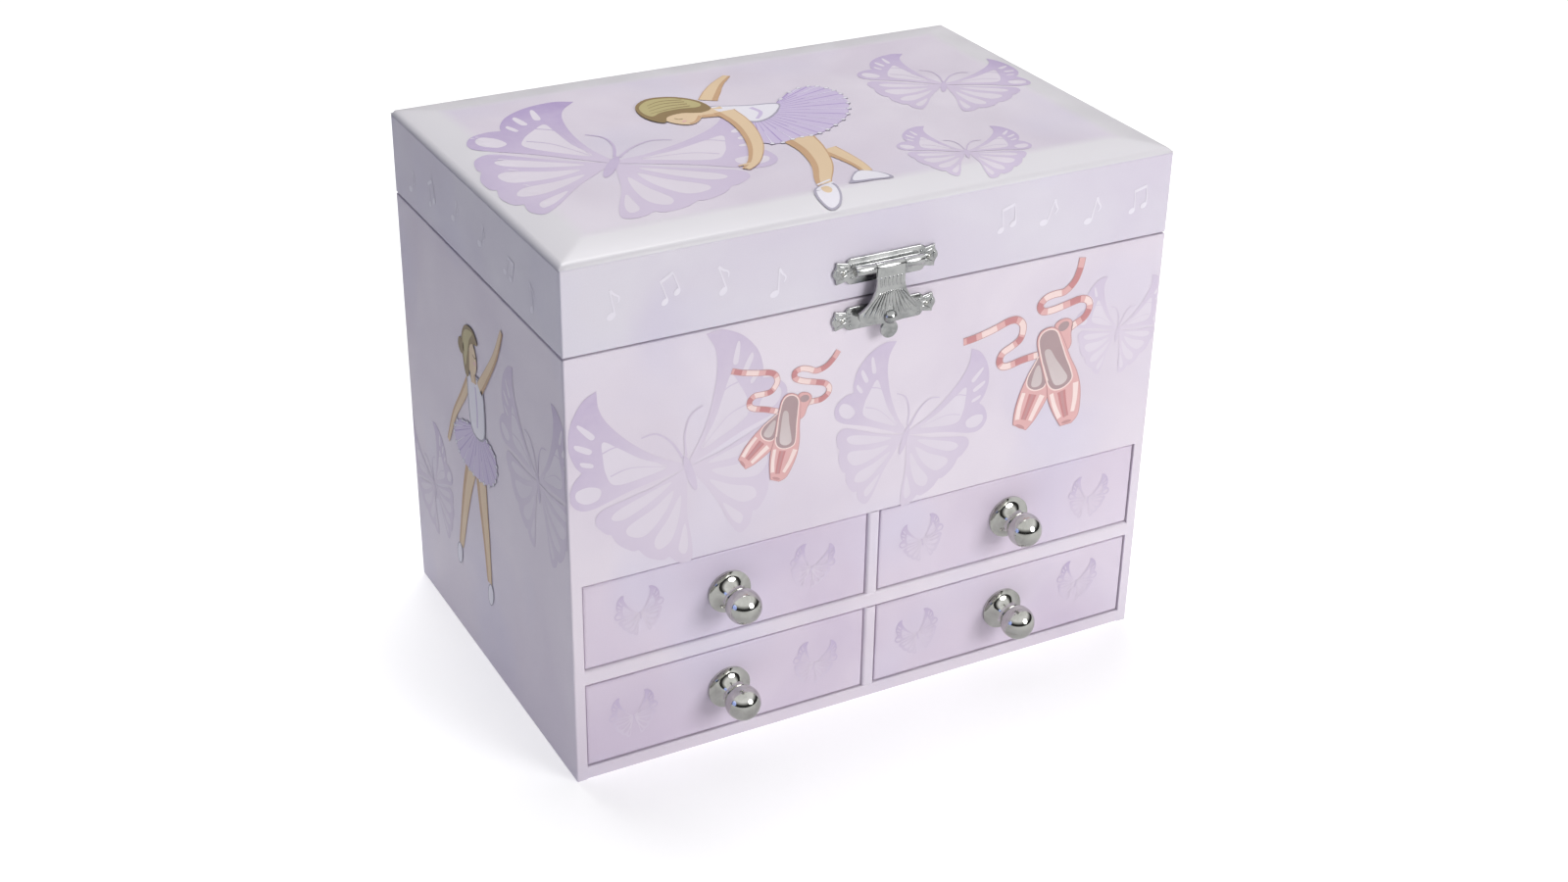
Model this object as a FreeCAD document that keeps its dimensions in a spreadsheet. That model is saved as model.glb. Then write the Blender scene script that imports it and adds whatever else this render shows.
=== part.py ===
"""Ballerina jewellery box: a paper-covered chest with a padded lid, four drawers, a snap clasp
and a musical movement that turns a dancer. Millimetres; +X right, +Y back, +Z up; the origin is
the centre of the base's underside."""
import FreeCAD, Part
import math
import os
import Sketcher
from FreeCAD import Rotation, Vector

doc = FreeCAD.newDocument("jewellery_box")

# ---------------------------------------------------------------- driving dimensions
SIZES = {
    # outer case
    "box_width": 225, "box_depth": 150, "body_height": 158, "board": 4,
    "base_board": 5, "drawer_opening": 32.5, "shelf_board": 6, "divider_board": 4.6,
    "floor_board": 4, "rail_radius": 1.2, "card_lining": 0.8,
    # lid
    "lid_seam": 0.5, "lid_rim": 29.1, "lid_top_board": 3, "pad_rise": 3, "pad_bevel": 14,
    "mirror_width": 132, "mirror_depth": 82, "mirror_glass": 2, "mirror_corner": 10,
    "frame_border": 9, "frame_thickness": 2.6,
    # drawers
    "drawer_gap": 0.5, "drawer_front_board": 3, "drawer_recess": 0.4, "tray_wall": 2,
    "tray_drop": 3, "drawer_back_gap": 5,
    # knobs
    "knob_flange": 15.7, "knob_rim": 0.8, "knob_neck": 5.6, "knob_neck_end": 5, "knob_ball": 12.4,
    "knob_reach": 10.8, "knob_shank": 3.2, "knob_nut": 6.4, "knob_nut_height": 1.6,
    # butt hinges on the back
    "hinge_spacing": 140, "hinge_length": 26, "hinge_leaf": 14, "hinge_plate": 1,
    "hinge_knuckle": 3.4, "hinge_pin": 1.6, "hinge_offset": 2, "hinge_drop": 2.4,
    "screw_head": 3.4, "screw_head_height": 0.6, "screw_shank": 1.6, "screw_depth": 3,
    # clasp on the front
    "clasp_width": 39, "clasp_plate": 1, "clasp_rise": 11, "clasp_plate_height": 9,
    "clasp_barrel": 3.6, "clasp_barrel_length": 25, "clasp_pin": 1.6, "clasp_stand_off": 2.9,
    "hasp_neck": 10.3, "hasp_fan": 23, "hasp_length": 20, "hasp_sheet": 1, "hasp_stud": 4.8,
    "hasp_stud_rise": 2.7, "hasp_tab": 6.2, "catch_height": 8,
    "catch_stud": 3.6, "catch_stud_height": 2.4,
    # compartment fittings
    "partition_board": 3, "partition_height": 36, "cushion_length": 76, "cushion_roll": 13,
    # movement and its cover
    "cover_wall": 1.6, "gear_room": 1.45, "side_room": 1.4, "front_room": 1.1,
    "movement_back_gap": 5.6, "bed_plate": 1.6, "bed_margin": 1, "arbor": 4,
    "bearing_plate": 1.5, "gear_module": 0.5, "gear_width": 2.4, "barrel_teeth": 50,
    "pinion_teeth": 20, "wheel_teeth": 36, "fan_teeth": 12, "barrel_drum": 23,
    "barrel_length": 12, "cylinder_drum": 13, "cylinder_length": 24, "cylinder_arbor": 2,
    "fan_arbor": 1.2, "fan_reach": 4.6, "fan_length": 8, "comb_thickness": 1, "comb_gap": 0.5,
    "comb_length": 13.5, "tune_pin": 0.4, "tune_pin_rise": 0.3,
    # winding key
    "key_gap": 2.5, "key_wing": 11, "key_thickness": 3, "key_hub": 7, "key_length": 14,
    # dancer
    "spindle": 3, "friction_wheel": 15.4, "friction_width": 2, "friction_rise": 10,
    "turntable": 24, "turntable_height": 3, "dancer_height": 60, "tutu": 27, "dancer_gap": 1,
    # stop wire
    "stop_wire": 1.6, "stop_side": 16.5, "stop_back_gap": 7, "stop_rise": 2.7, "stop_block_gap": 0.5,
    # running clearances
    "running": 0.05, "clearance": 0.3,
}

sheet = doc.addObject("Spreadsheet::Sheet", "dims")
for row, (alias, number) in enumerate(SIZES.items(), start=1):
    sheet.set(f"A{row}", alias)
    sheet.set(f"B{row}", str(number))
    sheet.setAlias(f"B{row}", alias)
doc.recompute()


class Size:
    """A length that keeps its value and the sheet expression that gives it."""

    def __init__(self, text, value):
        self.text = text
        self.value = value

    def joined(self, sign, other, value):
        return Size(f"({self.text} {sign} {as_size(other).text})", value)

    def __add__(self, other):
        return self.joined("+", other, self.value + as_size(other).value)

    def __sub__(self, other):
        return self.joined("-", other, self.value - as_size(other).value)

    def __mul__(self, other):
        return self.joined("*", other, self.value * as_size(other).value)

    def __truediv__(self, other):
        return self.joined("/", other, self.value / as_size(other).value)

    def __rsub__(self, other):
        return as_size(other) - self

    def __radd__(self, other):
        return as_size(other) + self

    def __rmul__(self, other):
        return as_size(other) * self

    def __neg__(self):
        return Size(f"(-1 * {self.text})", -self.value)


def as_size(number):
    return number if isinstance(number, Size) else Size(f"({number})", float(number))


def dim(alias):
    return Size(f"dims.{alias}", float(SIZES[alias]))


# ---------------------------------------------------------------- building helpers
TOOTH_TIP = 0.9     # a tooth's height above the pitch circle, in modules
TOOTH_ROOT = 1.25   # and its depth below it
pieces = []
TURNS = {"x": Rotation(Vector(0, 1, 0), 90), "y": Rotation(Vector(1, 0, 0), -90), "z": Rotation()}


def bind(thing, name, size):
    thing.setExpression(name, as_size(size).text)


def put(thing, x, y, z, turn=None):
    """Place a sub-part at sizes x, y, z, after a turn about its own origin."""
    base = [as_size(value).value for value in (x, y, z)]
    thing.Placement = FreeCAD.Placement(Vector(*base), turn or Rotation())
    for axis, value in zip("xyz", (x, y, z)):
        bind(thing, f"Placement.Base.{axis}", value)
    return thing


def keep(thing, label):
    """Name a sub-part and list it for export."""
    thing.Label = label
    pieces.append(thing)
    return thing


def block(x, y, z, label="blank"):
    """A board from its low and high sizes along each axis."""
    board = doc.addObject("Part::Box", label)
    for name, (low, high) in zip(("Length", "Width", "Height"), (x, y, z)):
        bind(board, name, as_size(high) - low)
    return put(board, x[0], y[0], z[0])


def rod(axis, centre, start, end, radius, label="rod"):
    """A round bar along an axis; centre gives its other two sizes, in x, y, z order."""
    bar = doc.addObject("Part::Cylinder", label)
    bind(bar, "Radius", radius)
    bind(bar, "Height", as_size(end) - start)
    place = list(centre)
    place.insert("xyz".index(axis), start)
    return put(bar, *place, TURNS[axis])


def ball(x, y, z, radius):
    sphere = doc.addObject("Part::Sphere", "ball")
    bind(sphere, "Radius", radius)
    return put(sphere, x, y, z)


def cone(x, y, low, high, low_radius, high_radius):
    taper = doc.addObject("Part::Cone", "taper")
    bind(taper, "Radius1", low_radius)
    bind(taper, "Radius2", high_radius)
    bind(taper, "Height", as_size(high) - low)
    return put(taper, x, y, low)


def fuse(*shapes):
    joined = doc.addObject("Part::MultiFuse", "joined")
    joined.Shapes = list(shapes)
    joined.Refine = True
    return joined


def cut(base, *tools):
    for tool in tools:
        result = doc.addObject("Part::Cut", "cut")
        result.Base = base
        result.Tool = tool
        base = result
    return base


def group(*solids):
    together = doc.addObject("Part::Compound", "group")
    together.Links = list(solids)
    return together


def rounded(base, radius, chosen):
    """Fillet the edges of a solid that a test on each edge's centre and direction picks."""
    doc.recompute()
    numbers = [n for n, edge in enumerate(base.Shape.Edges, start=1) if chosen(edge)]
    smooth = doc.addObject("Part::Fillet", "rounded")
    smooth.Base = base
    smooth.Edges = [(n, radius.value, radius.value) for n in numbers]
    return smooth


def new_body(name):
    return doc.addObject("PartDesign::Body", name)


def origin_part(body, role):
    return next(part for part in body.Origin.OriginFeatures if part.Role == role)


def outline(body, plane, corners, name="profile"):
    """A closed sketch whose corners are bound to sizes. A corner (x, y, radius) starts an arc to
    the next corner: a positive radius bulges to the right of the way the outline runs."""
    sketch = body.newObject("Sketcher::SketchObject", name)
    sketch.AttachmentSupport = [(origin_part(body, plane), "")]
    sketch.MapMode = "FlatFace"
    points = [Vector(as_size(c[0]).value, as_size(c[1]).value, 0) for c in corners]
    for number, corner in enumerate(corners):
        start, end = points[number], points[(number + 1) % len(points)]
        if len(corner) == 3:
            sketch.addGeometry(arc_between(start, end, as_size(corner[2]).value), False)
        else:
            sketch.addGeometry(Part.LineSegment(start, end), False)
    for number, corner in enumerate(corners):
        after = (number + 1) % len(corners)
        first_end = end_of_arc(sketch, number, points[after])
        second_start = 3 - end_of_arc(sketch, after, points[(after + 1) % len(points)])
        sketch.addConstraint(Sketcher.Constraint("Coincident", number, first_end, after, second_start))
    for number, corner in enumerate(corners):
        start_end = 3 - end_of_arc(sketch, number, points[(number + 1) % len(points)])
        for kind, size in (("DistanceX", corner[0]), ("DistanceY", corner[1])):
            value = as_size(size).value
            index = sketch.addConstraint(Sketcher.Constraint(kind, -1, 1, number, start_end, value))
            sketch.setExpression(f"Constraints[{index}]", as_size(size).text)
        if len(corner) == 3:
            radius = as_size(corner[2])
            radius = -radius if radius.value < 0 else radius
            index = sketch.addConstraint(Sketcher.Constraint("Radius", number, radius.value))
            sketch.setExpression(f"Constraints[{index}]", radius.text)
    return sketch


def arc_between(start, end, bulge):
    """The shorter arc of radius |bulge| from start to end."""
    chord = end - start
    side = Vector(chord.y, -chord.x, 0).normalize()
    sagitta = abs(bulge) - math.sqrt(bulge * bulge - chord.Length ** 2 / 4)
    middle = (start + end) / 2 + side * math.copysign(sagitta, bulge)
    return Part.Arc(start, middle, end)


def end_of_arc(sketch, number, point):
    """The sketch's own number (1 or 2) for the end of an edge that lies at a point."""
    return 2 if (sketch.getPoint(number, 2) - point).Length < 1e-6 else 1


def extrude(body, sketch, length, offset=0):
    """Pad a sketch by a length, from an offset along its normal."""
    pad = body.newObject("PartDesign::Pad", "pad")
    pad.Profile = sketch
    bind(pad, "Length", length)
    if offset:
        bind(sketch, "AttachmentOffset.Base.z", offset)
    return pad


def turned(name, corners):
    """A body of revolution about its own Z axis, from (radius, height) corners."""
    body = new_body(name)
    sketch = outline(body, "XZ_Plane", corners)
    spin = body.newObject("PartDesign::Revolution", "turned")
    spin.Profile = sketch
    spin.ReferenceAxis = (sketch, ["V_Axis"])
    spin.Angle = 360
    return body


def gear(name, teeth, width, bore):
    """A spur gear about its own Z axis, from z = 0 up, with a tooth on its +X side."""
    body = new_body(name)
    pitch = module * dim(teeth) / 2
    root = pitch - module * TOOTH_ROOT
    disc = body.newObject("Sketcher::SketchObject", "disc")
    disc.AttachmentSupport = [(origin_part(body, "XY_Plane"), "")]
    disc.MapMode = "FlatFace"
    for number, radius in enumerate((root, bore)):
        disc.addGeometry(Part.Circle(Vector(), Vector(0, 0, 1), radius.value), False)
        disc.addConstraint(Sketcher.Constraint("Coincident", number, 3, -1, 1))
        index = disc.addConstraint(Sketcher.Constraint("Radius", number, radius.value))
        disc.setExpression(f"Constraints[{index}]", radius.text)
    extrude(body, disc, width)
    tip = pitch + module * TOOTH_TIP
    corners = [(root - 0.3, -module), (tip, -0.3 * module), (tip, 0.3 * module), (root - 0.3, module)]
    tooth = extrude(body, outline(body, "XY_Plane", corners, "tooth"), width)
    ring = body.newObject("PartDesign::PolarPattern", "ring")
    ring.Originals = [tooth]
    ring.Axis = (origin_part(body, "Z_Axis"), [""])
    ring.Angle = 360
    ring.setExpression("Occurrences", dim(teeth).text)
    body.Tip = ring
    return body


# ---------------------------------------------------------------- sizes worked out from those
width, depth, board = dim("box_width"), dim("box_depth"), dim("board")
right, back = width / 2, depth / 2
inner_right, inner_back = right - board, back - board
seam = dim("body_height")
base_top = dim("base_board")
shelf_low = base_top + dim("drawer_opening")
shelf_top = shelf_low + dim("shelf_board")
floor_low = shelf_top + dim("drawer_opening")
floor_top = floor_low + dim("floor_board")
lid_low = seam + dim("lid_seam")
lid_top = lid_low + dim("lid_rim")
lid_ceiling = lid_top - dim("lid_top_board")
lining = dim("card_lining")
lined_right, lined_back = inner_right - lining, inner_back - lining
running, clearance = dim("running"), dim("clearance")
module = dim("gear_module")


# ---------------------------------------------------------------- case boards
def front_edges(low, high, along):
    """A test for a rail's two long front edges, which the paper wraps round."""
    def chosen(edge):
        middle = edge.CenterOfMass
        at_front = abs(middle.y + back.value) < 0.01
        return at_front and abs(edge.Length - along.value) < 0.01
    return chosen


def make_case():
    half_divider = dim("divider_board") / 2
    radius = dim("rail_radius")
    keep(block((-inner_right, inner_right), (-back, inner_back), (0, base_top)), "base_panel")
    for label, low, high in (("left_side_panel", -right, -inner_right),
                             ("right_side_panel", inner_right, right)):
        keep(block((low, high), (-back, back), (0, seam)), label)
    keep(block((-inner_right, inner_right), (-back, -inner_back), (floor_low, seam)), "front_panel")
    keep(block((-inner_right, inner_right), (-inner_back, inner_back), (floor_low, floor_top)),
         "compartment_floor")
    shelf = block((-inner_right, inner_right), (-back, inner_back), (shelf_low, shelf_top))
    keep(rounded(shelf, radius, front_edges(shelf_low, shelf_top, inner_right * 2)), "middle_shelf")
    for label, low, high in (("lower_divider", base_top, shelf_low),
                             ("upper_divider", shelf_top, floor_low)):
        divider = block((-half_divider, half_divider), (-back, inner_back), (low, high))
        smooth = rounded(divider, radius, front_edges(low, high, dim("drawer_opening")))
        keep(smooth, label)


# ---------------------------------------------------------------- drawers
def drawer_knob(name, x, face, z):
    """A trumpet-necked ball knob that points out of the drawer; its shank runs back through the
    front to a nut."""
    flange, neck = dim("knob_flange") / 2, dim("knob_neck") / 2
    rim, reach, sphere = dim("knob_rim"), dim("knob_reach"), dim("knob_ball") / 2
    shank, nut = dim("knob_shank") / 2, dim("knob_nut") / 2
    wall = dim("drawer_front_board") + dim("tray_wall")
    corners = [
        (0, -wall - dim("knob_nut_height")), (nut, -wall - dim("knob_nut_height")), (nut, -wall),
        (shank, -wall), (shank, 0), (flange, 0), (flange, rim, neck - flange),
        (neck, dim("knob_neck_end")), (neck, reach), (0, reach),
    ]
    stem = put(turned(name, corners), x, face, z, Rotation(Vector(1, 0, 0), 90))
    return fuse(stem, ball(x, face - reach, z, sphere))


def make_drawer(name, low_x, high_x, low_z):
    """One drawer: its front board, the card tray behind it and the knob."""
    gap, wall = dim("drawer_gap"), dim("tray_wall")
    x = (low_x + gap, high_x - gap)
    z = (low_z + gap, low_z + dim("drawer_opening") - gap)
    face = -back + dim("drawer_recess")
    front_back = face + dim("drawer_front_board")
    tray_back = inner_back - dim("drawer_back_gap")
    centre = ((x[0] + x[1]) / 2, (z[0] + z[1]) / 2)
    shank = dim("knob_shank") / 2
    front = cut(block(x, (face, front_back), z),
                rod("y", centre, face - 1, front_back + 1, shank))
    keep(front, f"{name}_drawer_front")
    tray_top = z[1] - dim("tray_drop")
    tray = block((x[0] + gap, x[1] - gap), (front_back, tray_back), (z[0], tray_top))
    hollow = block((x[0] + gap + wall, x[1] - gap - wall), (front_back + wall, tray_back - wall),
                   (z[0] + wall, tray_top + 1))
    shank_hole = rod("y", centre, front_back - 1, front_back + wall + 1, shank)
    keep(cut(tray, hollow, shank_hole), f"{name}_drawer_tray")
    keep(drawer_knob(f"{name}_knob_stem", centre[0], face, centre[1]), f"{name}_drawer_knob")


def make_drawers():
    half_divider = dim("divider_board") / 2
    for level, low_z in (("lower", base_top), ("upper", shelf_top)):
        make_drawer(f"{level}_left", -inner_right, -half_divider, low_z)
        make_drawer(f"{level}_right", half_divider, inner_right, low_z)


# ---------------------------------------------------------------- lid
def make_lid(screws):
    """The lid's board shell, with the hinge screws' holes, its padded top, lining and mirror."""
    shell = block((-right, right), (-back, back), (lid_low, lid_top))
    hollow = block((-inner_right, inner_right), (-inner_back, inner_back), (lid_low - 1, lid_ceiling))
    keep(cut(shell, hollow, screws), "lid_shell")
    pad = doc.addObject("Part::Wedge", "pad")
    bevel = dim("pad_bevel")
    for name, size in (("Xmin", -right), ("Xmax", right), ("Ymin", 0), ("Ymax", dim("pad_rise")),
                       ("Zmin", -back), ("Zmax", back), ("X2min", -right + bevel),
                       ("X2max", right - bevel), ("Z2min", -back + bevel), ("Z2max", back - bevel)):
        bind(pad, name, size)
    keep(put(pad, 0, 0, lid_top, Rotation(Vector(1, 0, 0), 90)), "lid_pad")
    lining_outer = block((-inner_right, inner_right), (-inner_back, inner_back),
                         (lid_low + 1, lid_ceiling))
    lining_inner = block((-lined_right, lined_right), (-lined_back, lined_back),
                         (lid_low, lid_ceiling - lining))
    keep(cut(lining_outer, lining_inner), "lid_lining")
    make_mirror()


def rounded_plate(name, half_x, half_y, corner, thickness):
    """A plate with round corners, from z = 0 up."""
    body = new_body(name)
    x, y, r = half_x, half_y, corner
    corners = [(x - r, -y, r), (x, -y + r), (x, y - r, r), (x - r, y),
               (-x + r, y, r), (-x, y - r), (-x, -y + r, r), (-x + r, -y)]
    extrude(body, outline(body, "XY_Plane", corners), thickness)
    return body


def make_mirror():
    half_x, half_y = dim("mirror_width") / 2, dim("mirror_depth") / 2
    glass, corner, border = dim("mirror_glass"), dim("mirror_corner"), dim("frame_border")
    thickness = dim("frame_thickness")
    under = lid_ceiling - lining
    mirror = rounded_plate("mirror_body", half_x, half_y, corner, glass)
    keep(put(mirror, 0, 0, under - glass), "mirror")
    frame = rounded_plate("frame_body", half_x + border, half_y + border, corner + border, thickness)
    put(frame, 0, 0, under - thickness)
    window = rounded_plate("window_body", half_x, half_y, corner, thickness + 2)
    put(window, 0, 0, under - thickness - 1)
    keep(cut(frame, window), "mirror_frame")


# ---------------------------------------------------------------- hinges
hinge_y = back + dim("hinge_offset")
hinge_z = seam + dim("lid_seam") / 2


def hinge_screws(centre_z, side):
    """Two countersunk-size screws for one leaf."""
    head_back = back + dim("hinge_plate")
    solids = []
    for step in (-1, 1):
        centre = (side + step * dim("hinge_length") * 0.3, centre_z)
        head = rod("y", centre, head_back, head_back + dim("screw_head_height"), dim("screw_head") / 2)
        shank = rod("y", centre, back - dim("screw_depth"), head_back, dim("screw_shank") / 2)
        solids.append(fuse(head, shank))
    return solids


def hinge_leaf(side, low_z, high_z, webs):
    """A leaf plate on the back with its knuckles; webs lists the knuckles' low and high x."""
    x = (side - dim("hinge_length") / 2, side + dim("hinge_length") / 2)
    plate_back = back + dim("hinge_plate")
    solids = [block(x, (back, plate_back), (low_z, high_z))]
    near_z = (low_z, hinge_z) if low_z.value > hinge_z.value else (high_z, hinge_z)
    near_z = sorted(near_z, key=lambda size: size.value)
    for low, high in webs:
        solids.append(rod("x", (hinge_y, hinge_z), low, high, dim("hinge_knuckle") / 2))
        solids.append(block((low, high), (back, plate_back), near_z))
        knuckle_front = (plate_back - 0.1, hinge_y)
        solids.append(block((low, high), knuckle_front, (hinge_z - 0.5, hinge_z + 0.5)))
    leaf = fuse(*solids)
    bore = rod("x", (hinge_y, hinge_z), x[0] - 1, x[1] + 1, dim("hinge_pin") / 2 + running)
    return cut(leaf, bore)


def make_hinges():
    half_length, gap = dim("hinge_length") / 2, dim("clearance")
    knuckle = dim("hinge_length") / 4
    drop, leaf = dim("hinge_drop"), dim("hinge_leaf")
    body_leaves, lid_leaves, pins, body_screws, lid_screws = [], [], [], [], []
    for side in (dim("hinge_spacing") / -2, dim("hinge_spacing") / 2):
        outer = [(side - half_length, side - knuckle), (side + knuckle, side + half_length)]
        inner = [(side - knuckle + gap, side + knuckle - gap)]
        low, high = hinge_z - drop - leaf, hinge_z - drop
        body_leaves.append(hinge_leaf(side, low, high, outer))
        body_screws += hinge_screws((low + high) / 2, side)
        low, high = hinge_z + drop, hinge_z + drop + leaf
        lid_leaves.append(hinge_leaf(side, low, high, inner))
        lid_screws += hinge_screws((low + high) / 2, side)
        pins.append(rod("x", (hinge_y, hinge_z), side - half_length - 0.5, side + half_length + 0.5,
                        dim("hinge_pin") / 2))
    body_screws, lid_screws = group(*body_screws), group(*lid_screws)
    keep(cut(group(*body_leaves), body_screws), "hinge_body_leaves")
    keep(cut(group(*lid_leaves), lid_screws), "hinge_lid_leaves")
    keep(group(*pins), "hinge_pins")
    keep(body_screws, "hinge_body_screws")
    keep(lid_screws, "hinge_lid_screws")
    return body_screws, lid_screws


def make_back_panel(screws):
    """The back board, with the key's hole and the hinge screws' holes."""
    panel = block((-inner_right, inner_right), (inner_back, back), (0, seam))
    key_hole = rod("y", (arbor_x, arbor_z), inner_back - 1, back + 1, dim("arbor") / 2 + 1)
    keep(cut(panel, key_hole, screws), "back_panel")


# ---------------------------------------------------------------- clasp
clasp_y = -back - dim("clasp_stand_off")
clasp_z = seam + dim("clasp_rise")


def ornate_plate(name, half, height):
    """A clasp plate in the XZ plane, with waisted, scalloped ends."""
    body = new_body(name)
    h, tip, waist = height / 2, half, half - 5
    corners = [(-waist + 1.5, -h), (waist - 1.5, -h, 2), (waist, -h + 1.4), (tip - 1.2, -h + 0.6, -3),
               (tip - 0.4, -h * 0.25, 2), (tip - 0.4, h * 0.25, -3), (tip - 1.2, h - 0.6),
               (waist, h - 1.4, 2), (waist - 1.5, h), (-waist + 1.5, h, 2), (-waist, h - 1.4),
               (-tip + 1.2, h - 0.6, -3), (-tip + 0.4, h * 0.25, 2), (-tip + 0.4, -h * 0.25, -3),
               (-tip + 1.2, -h + 0.6), (-waist, -h + 1.4, 2)]
    extrude(body, outline(body, "XZ_Plane", corners), dim("clasp_plate"))
    return body


def make_clasp():
    half, barrel = dim("clasp_width") / 2, dim("clasp_barrel") / 2
    neck, length = dim("hasp_neck") / 2, dim("clasp_barrel_length") / 2
    plate_front = -back - dim("clasp_plate")
    pin = dim("clasp_pin") / 2
    bore = rod("x", (clasp_y, clasp_z), -length - 1, length + 1, pin + running)

    plate = put(ornate_plate("lid_plate_body", half, dim("clasp_plate_height")), 0, -back, clasp_z - 0.6)
    solids = [plate]
    for low, high in ((-length, -neck - 0.15), (neck + 0.15, length)):
        solids.append(rod("x", (clasp_y, clasp_z), low, high, barrel))
        solids.append(block((low, high), (clasp_y, plate_front + 0.1), (clasp_z - 1, clasp_z + 1)))
    keep(cut(fuse(*solids), bore), "clasp_lid_plate")
    keep(rod("x", (clasp_y, clasp_z), -length - 0.4, length + 0.4, pin), "clasp_pin")

    make_hasp(neck, barrel, bore)
    catch_z = clasp_z - dim("hasp_length") + dim("hasp_stud_rise")
    catch = put(ornate_plate("catch_body", half, dim("catch_height")), 0, -back, catch_z)
    stud = rod("y", (0, catch_z), plate_front - dim("catch_stud_height"), plate_front,
               dim("catch_stud") / 2)
    keep(fuse(catch, stud), "clasp_catch_plate")


def make_hasp(neck, barrel, bore):
    """The swinging leaf: a knuckle, a fan-shaped sheet, a domed stud and a finger tab."""
    fan, drop = dim("hasp_fan") / 2, dim("hasp_length")
    front = clasp_y - barrel
    sheet_back = front + dim("hasp_sheet")
    body = new_body("hasp_body")
    shoulder, corner_low = -drop + 5.5, -drop + 2.2
    corners = [(neck, 0), (-neck, 0), (-neck, -barrel - 2, -11), (-fan, shoulder, 3),
               (-fan + 1.4, corner_low, 30), (fan - 1.4, corner_low, 3), (fan, shoulder, -11),
               (neck, -barrel - 2)]
    extrude(body, outline(body, "XZ_Plane", corners), dim("hasp_sheet"))
    put(body, 0, sheet_back, clasp_z)
    knuckle = rod("x", (clasp_y, clasp_z), -neck, neck, barrel)
    stud_z = clasp_z - drop + dim("hasp_stud_rise")
    stud = ball(0, front, stud_z, dim("hasp_stud") / 2)
    flat = block((-5, 5), (sheet_back, sheet_back + 5), (stud_z - 5, stud_z + 5))
    tab_z = clasp_z - drop - dim("hasp_tab") * 0.3
    tab = rod("y", (0, tab_z), front, sheet_back, dim("hasp_tab") / 2)
    keep(cut(fuse(body, knuckle, stud, tab), flat, bore), "clasp_hasp")


# ---------------------------------------------------------------- where the movement stands
arbor_x = as_size(0)
barrel_tip = module * (dim("barrel_teeth") / 2 + TOOTH_TIP)
bed_top = floor_top + dim("bed_plate")
arbor_z = bed_top + dim("gear_room") + barrel_tip
arbor = dim("arbor") / 2
movement_back = lined_back - dim("movement_back_gap")
gear_back = movement_back - dim("bearing_plate") - 1
gear_front = gear_back - dim("gear_width")
barrel_front = gear_front - dim("barrel_length")
cylinder_x = arbor_x - module * (dim("barrel_teeth") + dim("pinion_teeth")) / 2
cylinder_back = barrel_front - 1.5
cylinder_front = cylinder_back - dim("cylinder_length")
wheel_front = cylinder_front - 0.4 - dim("gear_width")
plate_back = wheel_front - 1
plate_front = plate_back - dim("bearing_plate")
fan_x = cylinder_x + module * (dim("wheel_teeth") + dim("fan_teeth")) / 2
fan_front = cylinder_front + 1.8
fan_back = fan_front + dim("fan_length")
spindle_y = barrel_front - dim("friction_wheel") / 2 - clearance
comb_right = cylinder_x - dim("cylinder_drum") / 2 - dim("comb_gap")
comb_left = comb_right - dim("comb_length")
bed_margin = dim("bed_margin")
cover_front = plate_front - bed_margin - dim("front_room") - dim("cover_wall")
cover_top = arbor_z + barrel_tip + dim("gear_room") + dim("cover_wall")
cover_half = bed_margin - comb_left + dim("side_room") + dim("cover_wall")
stop_x = cylinder_x - dim("stop_side")
stop_y = lined_back - dim("stop_back_gap")
stop_top = seam + dim("stop_rise")
wire = dim("stop_wire") / 2


# ---------------------------------------------------------------- compartment fittings
def make_fittings():
    low = floor_top
    outer = block((-inner_right, inner_right), (-inner_back, inner_back), (low, seam - 1))
    inner = block((-lined_right, lined_right), (-lined_back, lined_back), (low + lining, seam))
    footprint = block((-cover_half, cover_half), (cover_front, lined_back), (low - 1, low + lining + 1))
    key_hole = rod("y", (arbor_x, arbor_z), lined_back - 1, inner_back + 1, arbor + 1)
    keep(cut(outer, inner, footprint, key_hole), "compartment_lining")
    partition_front = cover_front - dim("partition_board")
    keep(block((-lined_right, lined_right), (partition_front, cover_front),
               (low + lining, low + lining + dim("partition_height"))), "compartment_partition")
    make_ring_cushions()
    wall = dim("cover_wall")
    shell = block((-cover_half, cover_half), (cover_front, lined_back), (low, cover_top))
    hollow = block((-cover_half + wall, cover_half - wall), (cover_front + wall, lined_back - wall),
                   (low - 1, cover_top - wall))
    holes = [rod("z", (0, spindle_y), cover_top - wall - 1, cover_top + 1, dim("spindle") / 2 + 0.6),
             rod("z", (stop_x, stop_y), cover_top - wall - 1, cover_top + 1, wire + 0.4),
             rod("y", (arbor_x, arbor_z), lined_back - wall - 1, lined_back + 1, arbor + 1)]
    keep(cut(shell, hollow, *holes), "movement_cover")


def make_ring_cushions():
    """Five soft rolls on one base; rings stand in the grooves between them."""
    pitch, rolls = dim("cushion_roll"), 5
    low = floor_top + lining
    top = low + pitch / 2
    x = (-lined_right, -lined_right + pitch * rolls)
    y = (-lined_back, -lined_back + dim("cushion_length"))
    solids = [block(x, y, (low, top))]
    for number in range(rolls):
        solids.append(rod("y", (x[0] + pitch * (number + 0.5), top), y[0], y[1], pitch / 2 - 0.3))
    keep(fuse(*solids), "ring_cushions")


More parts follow.
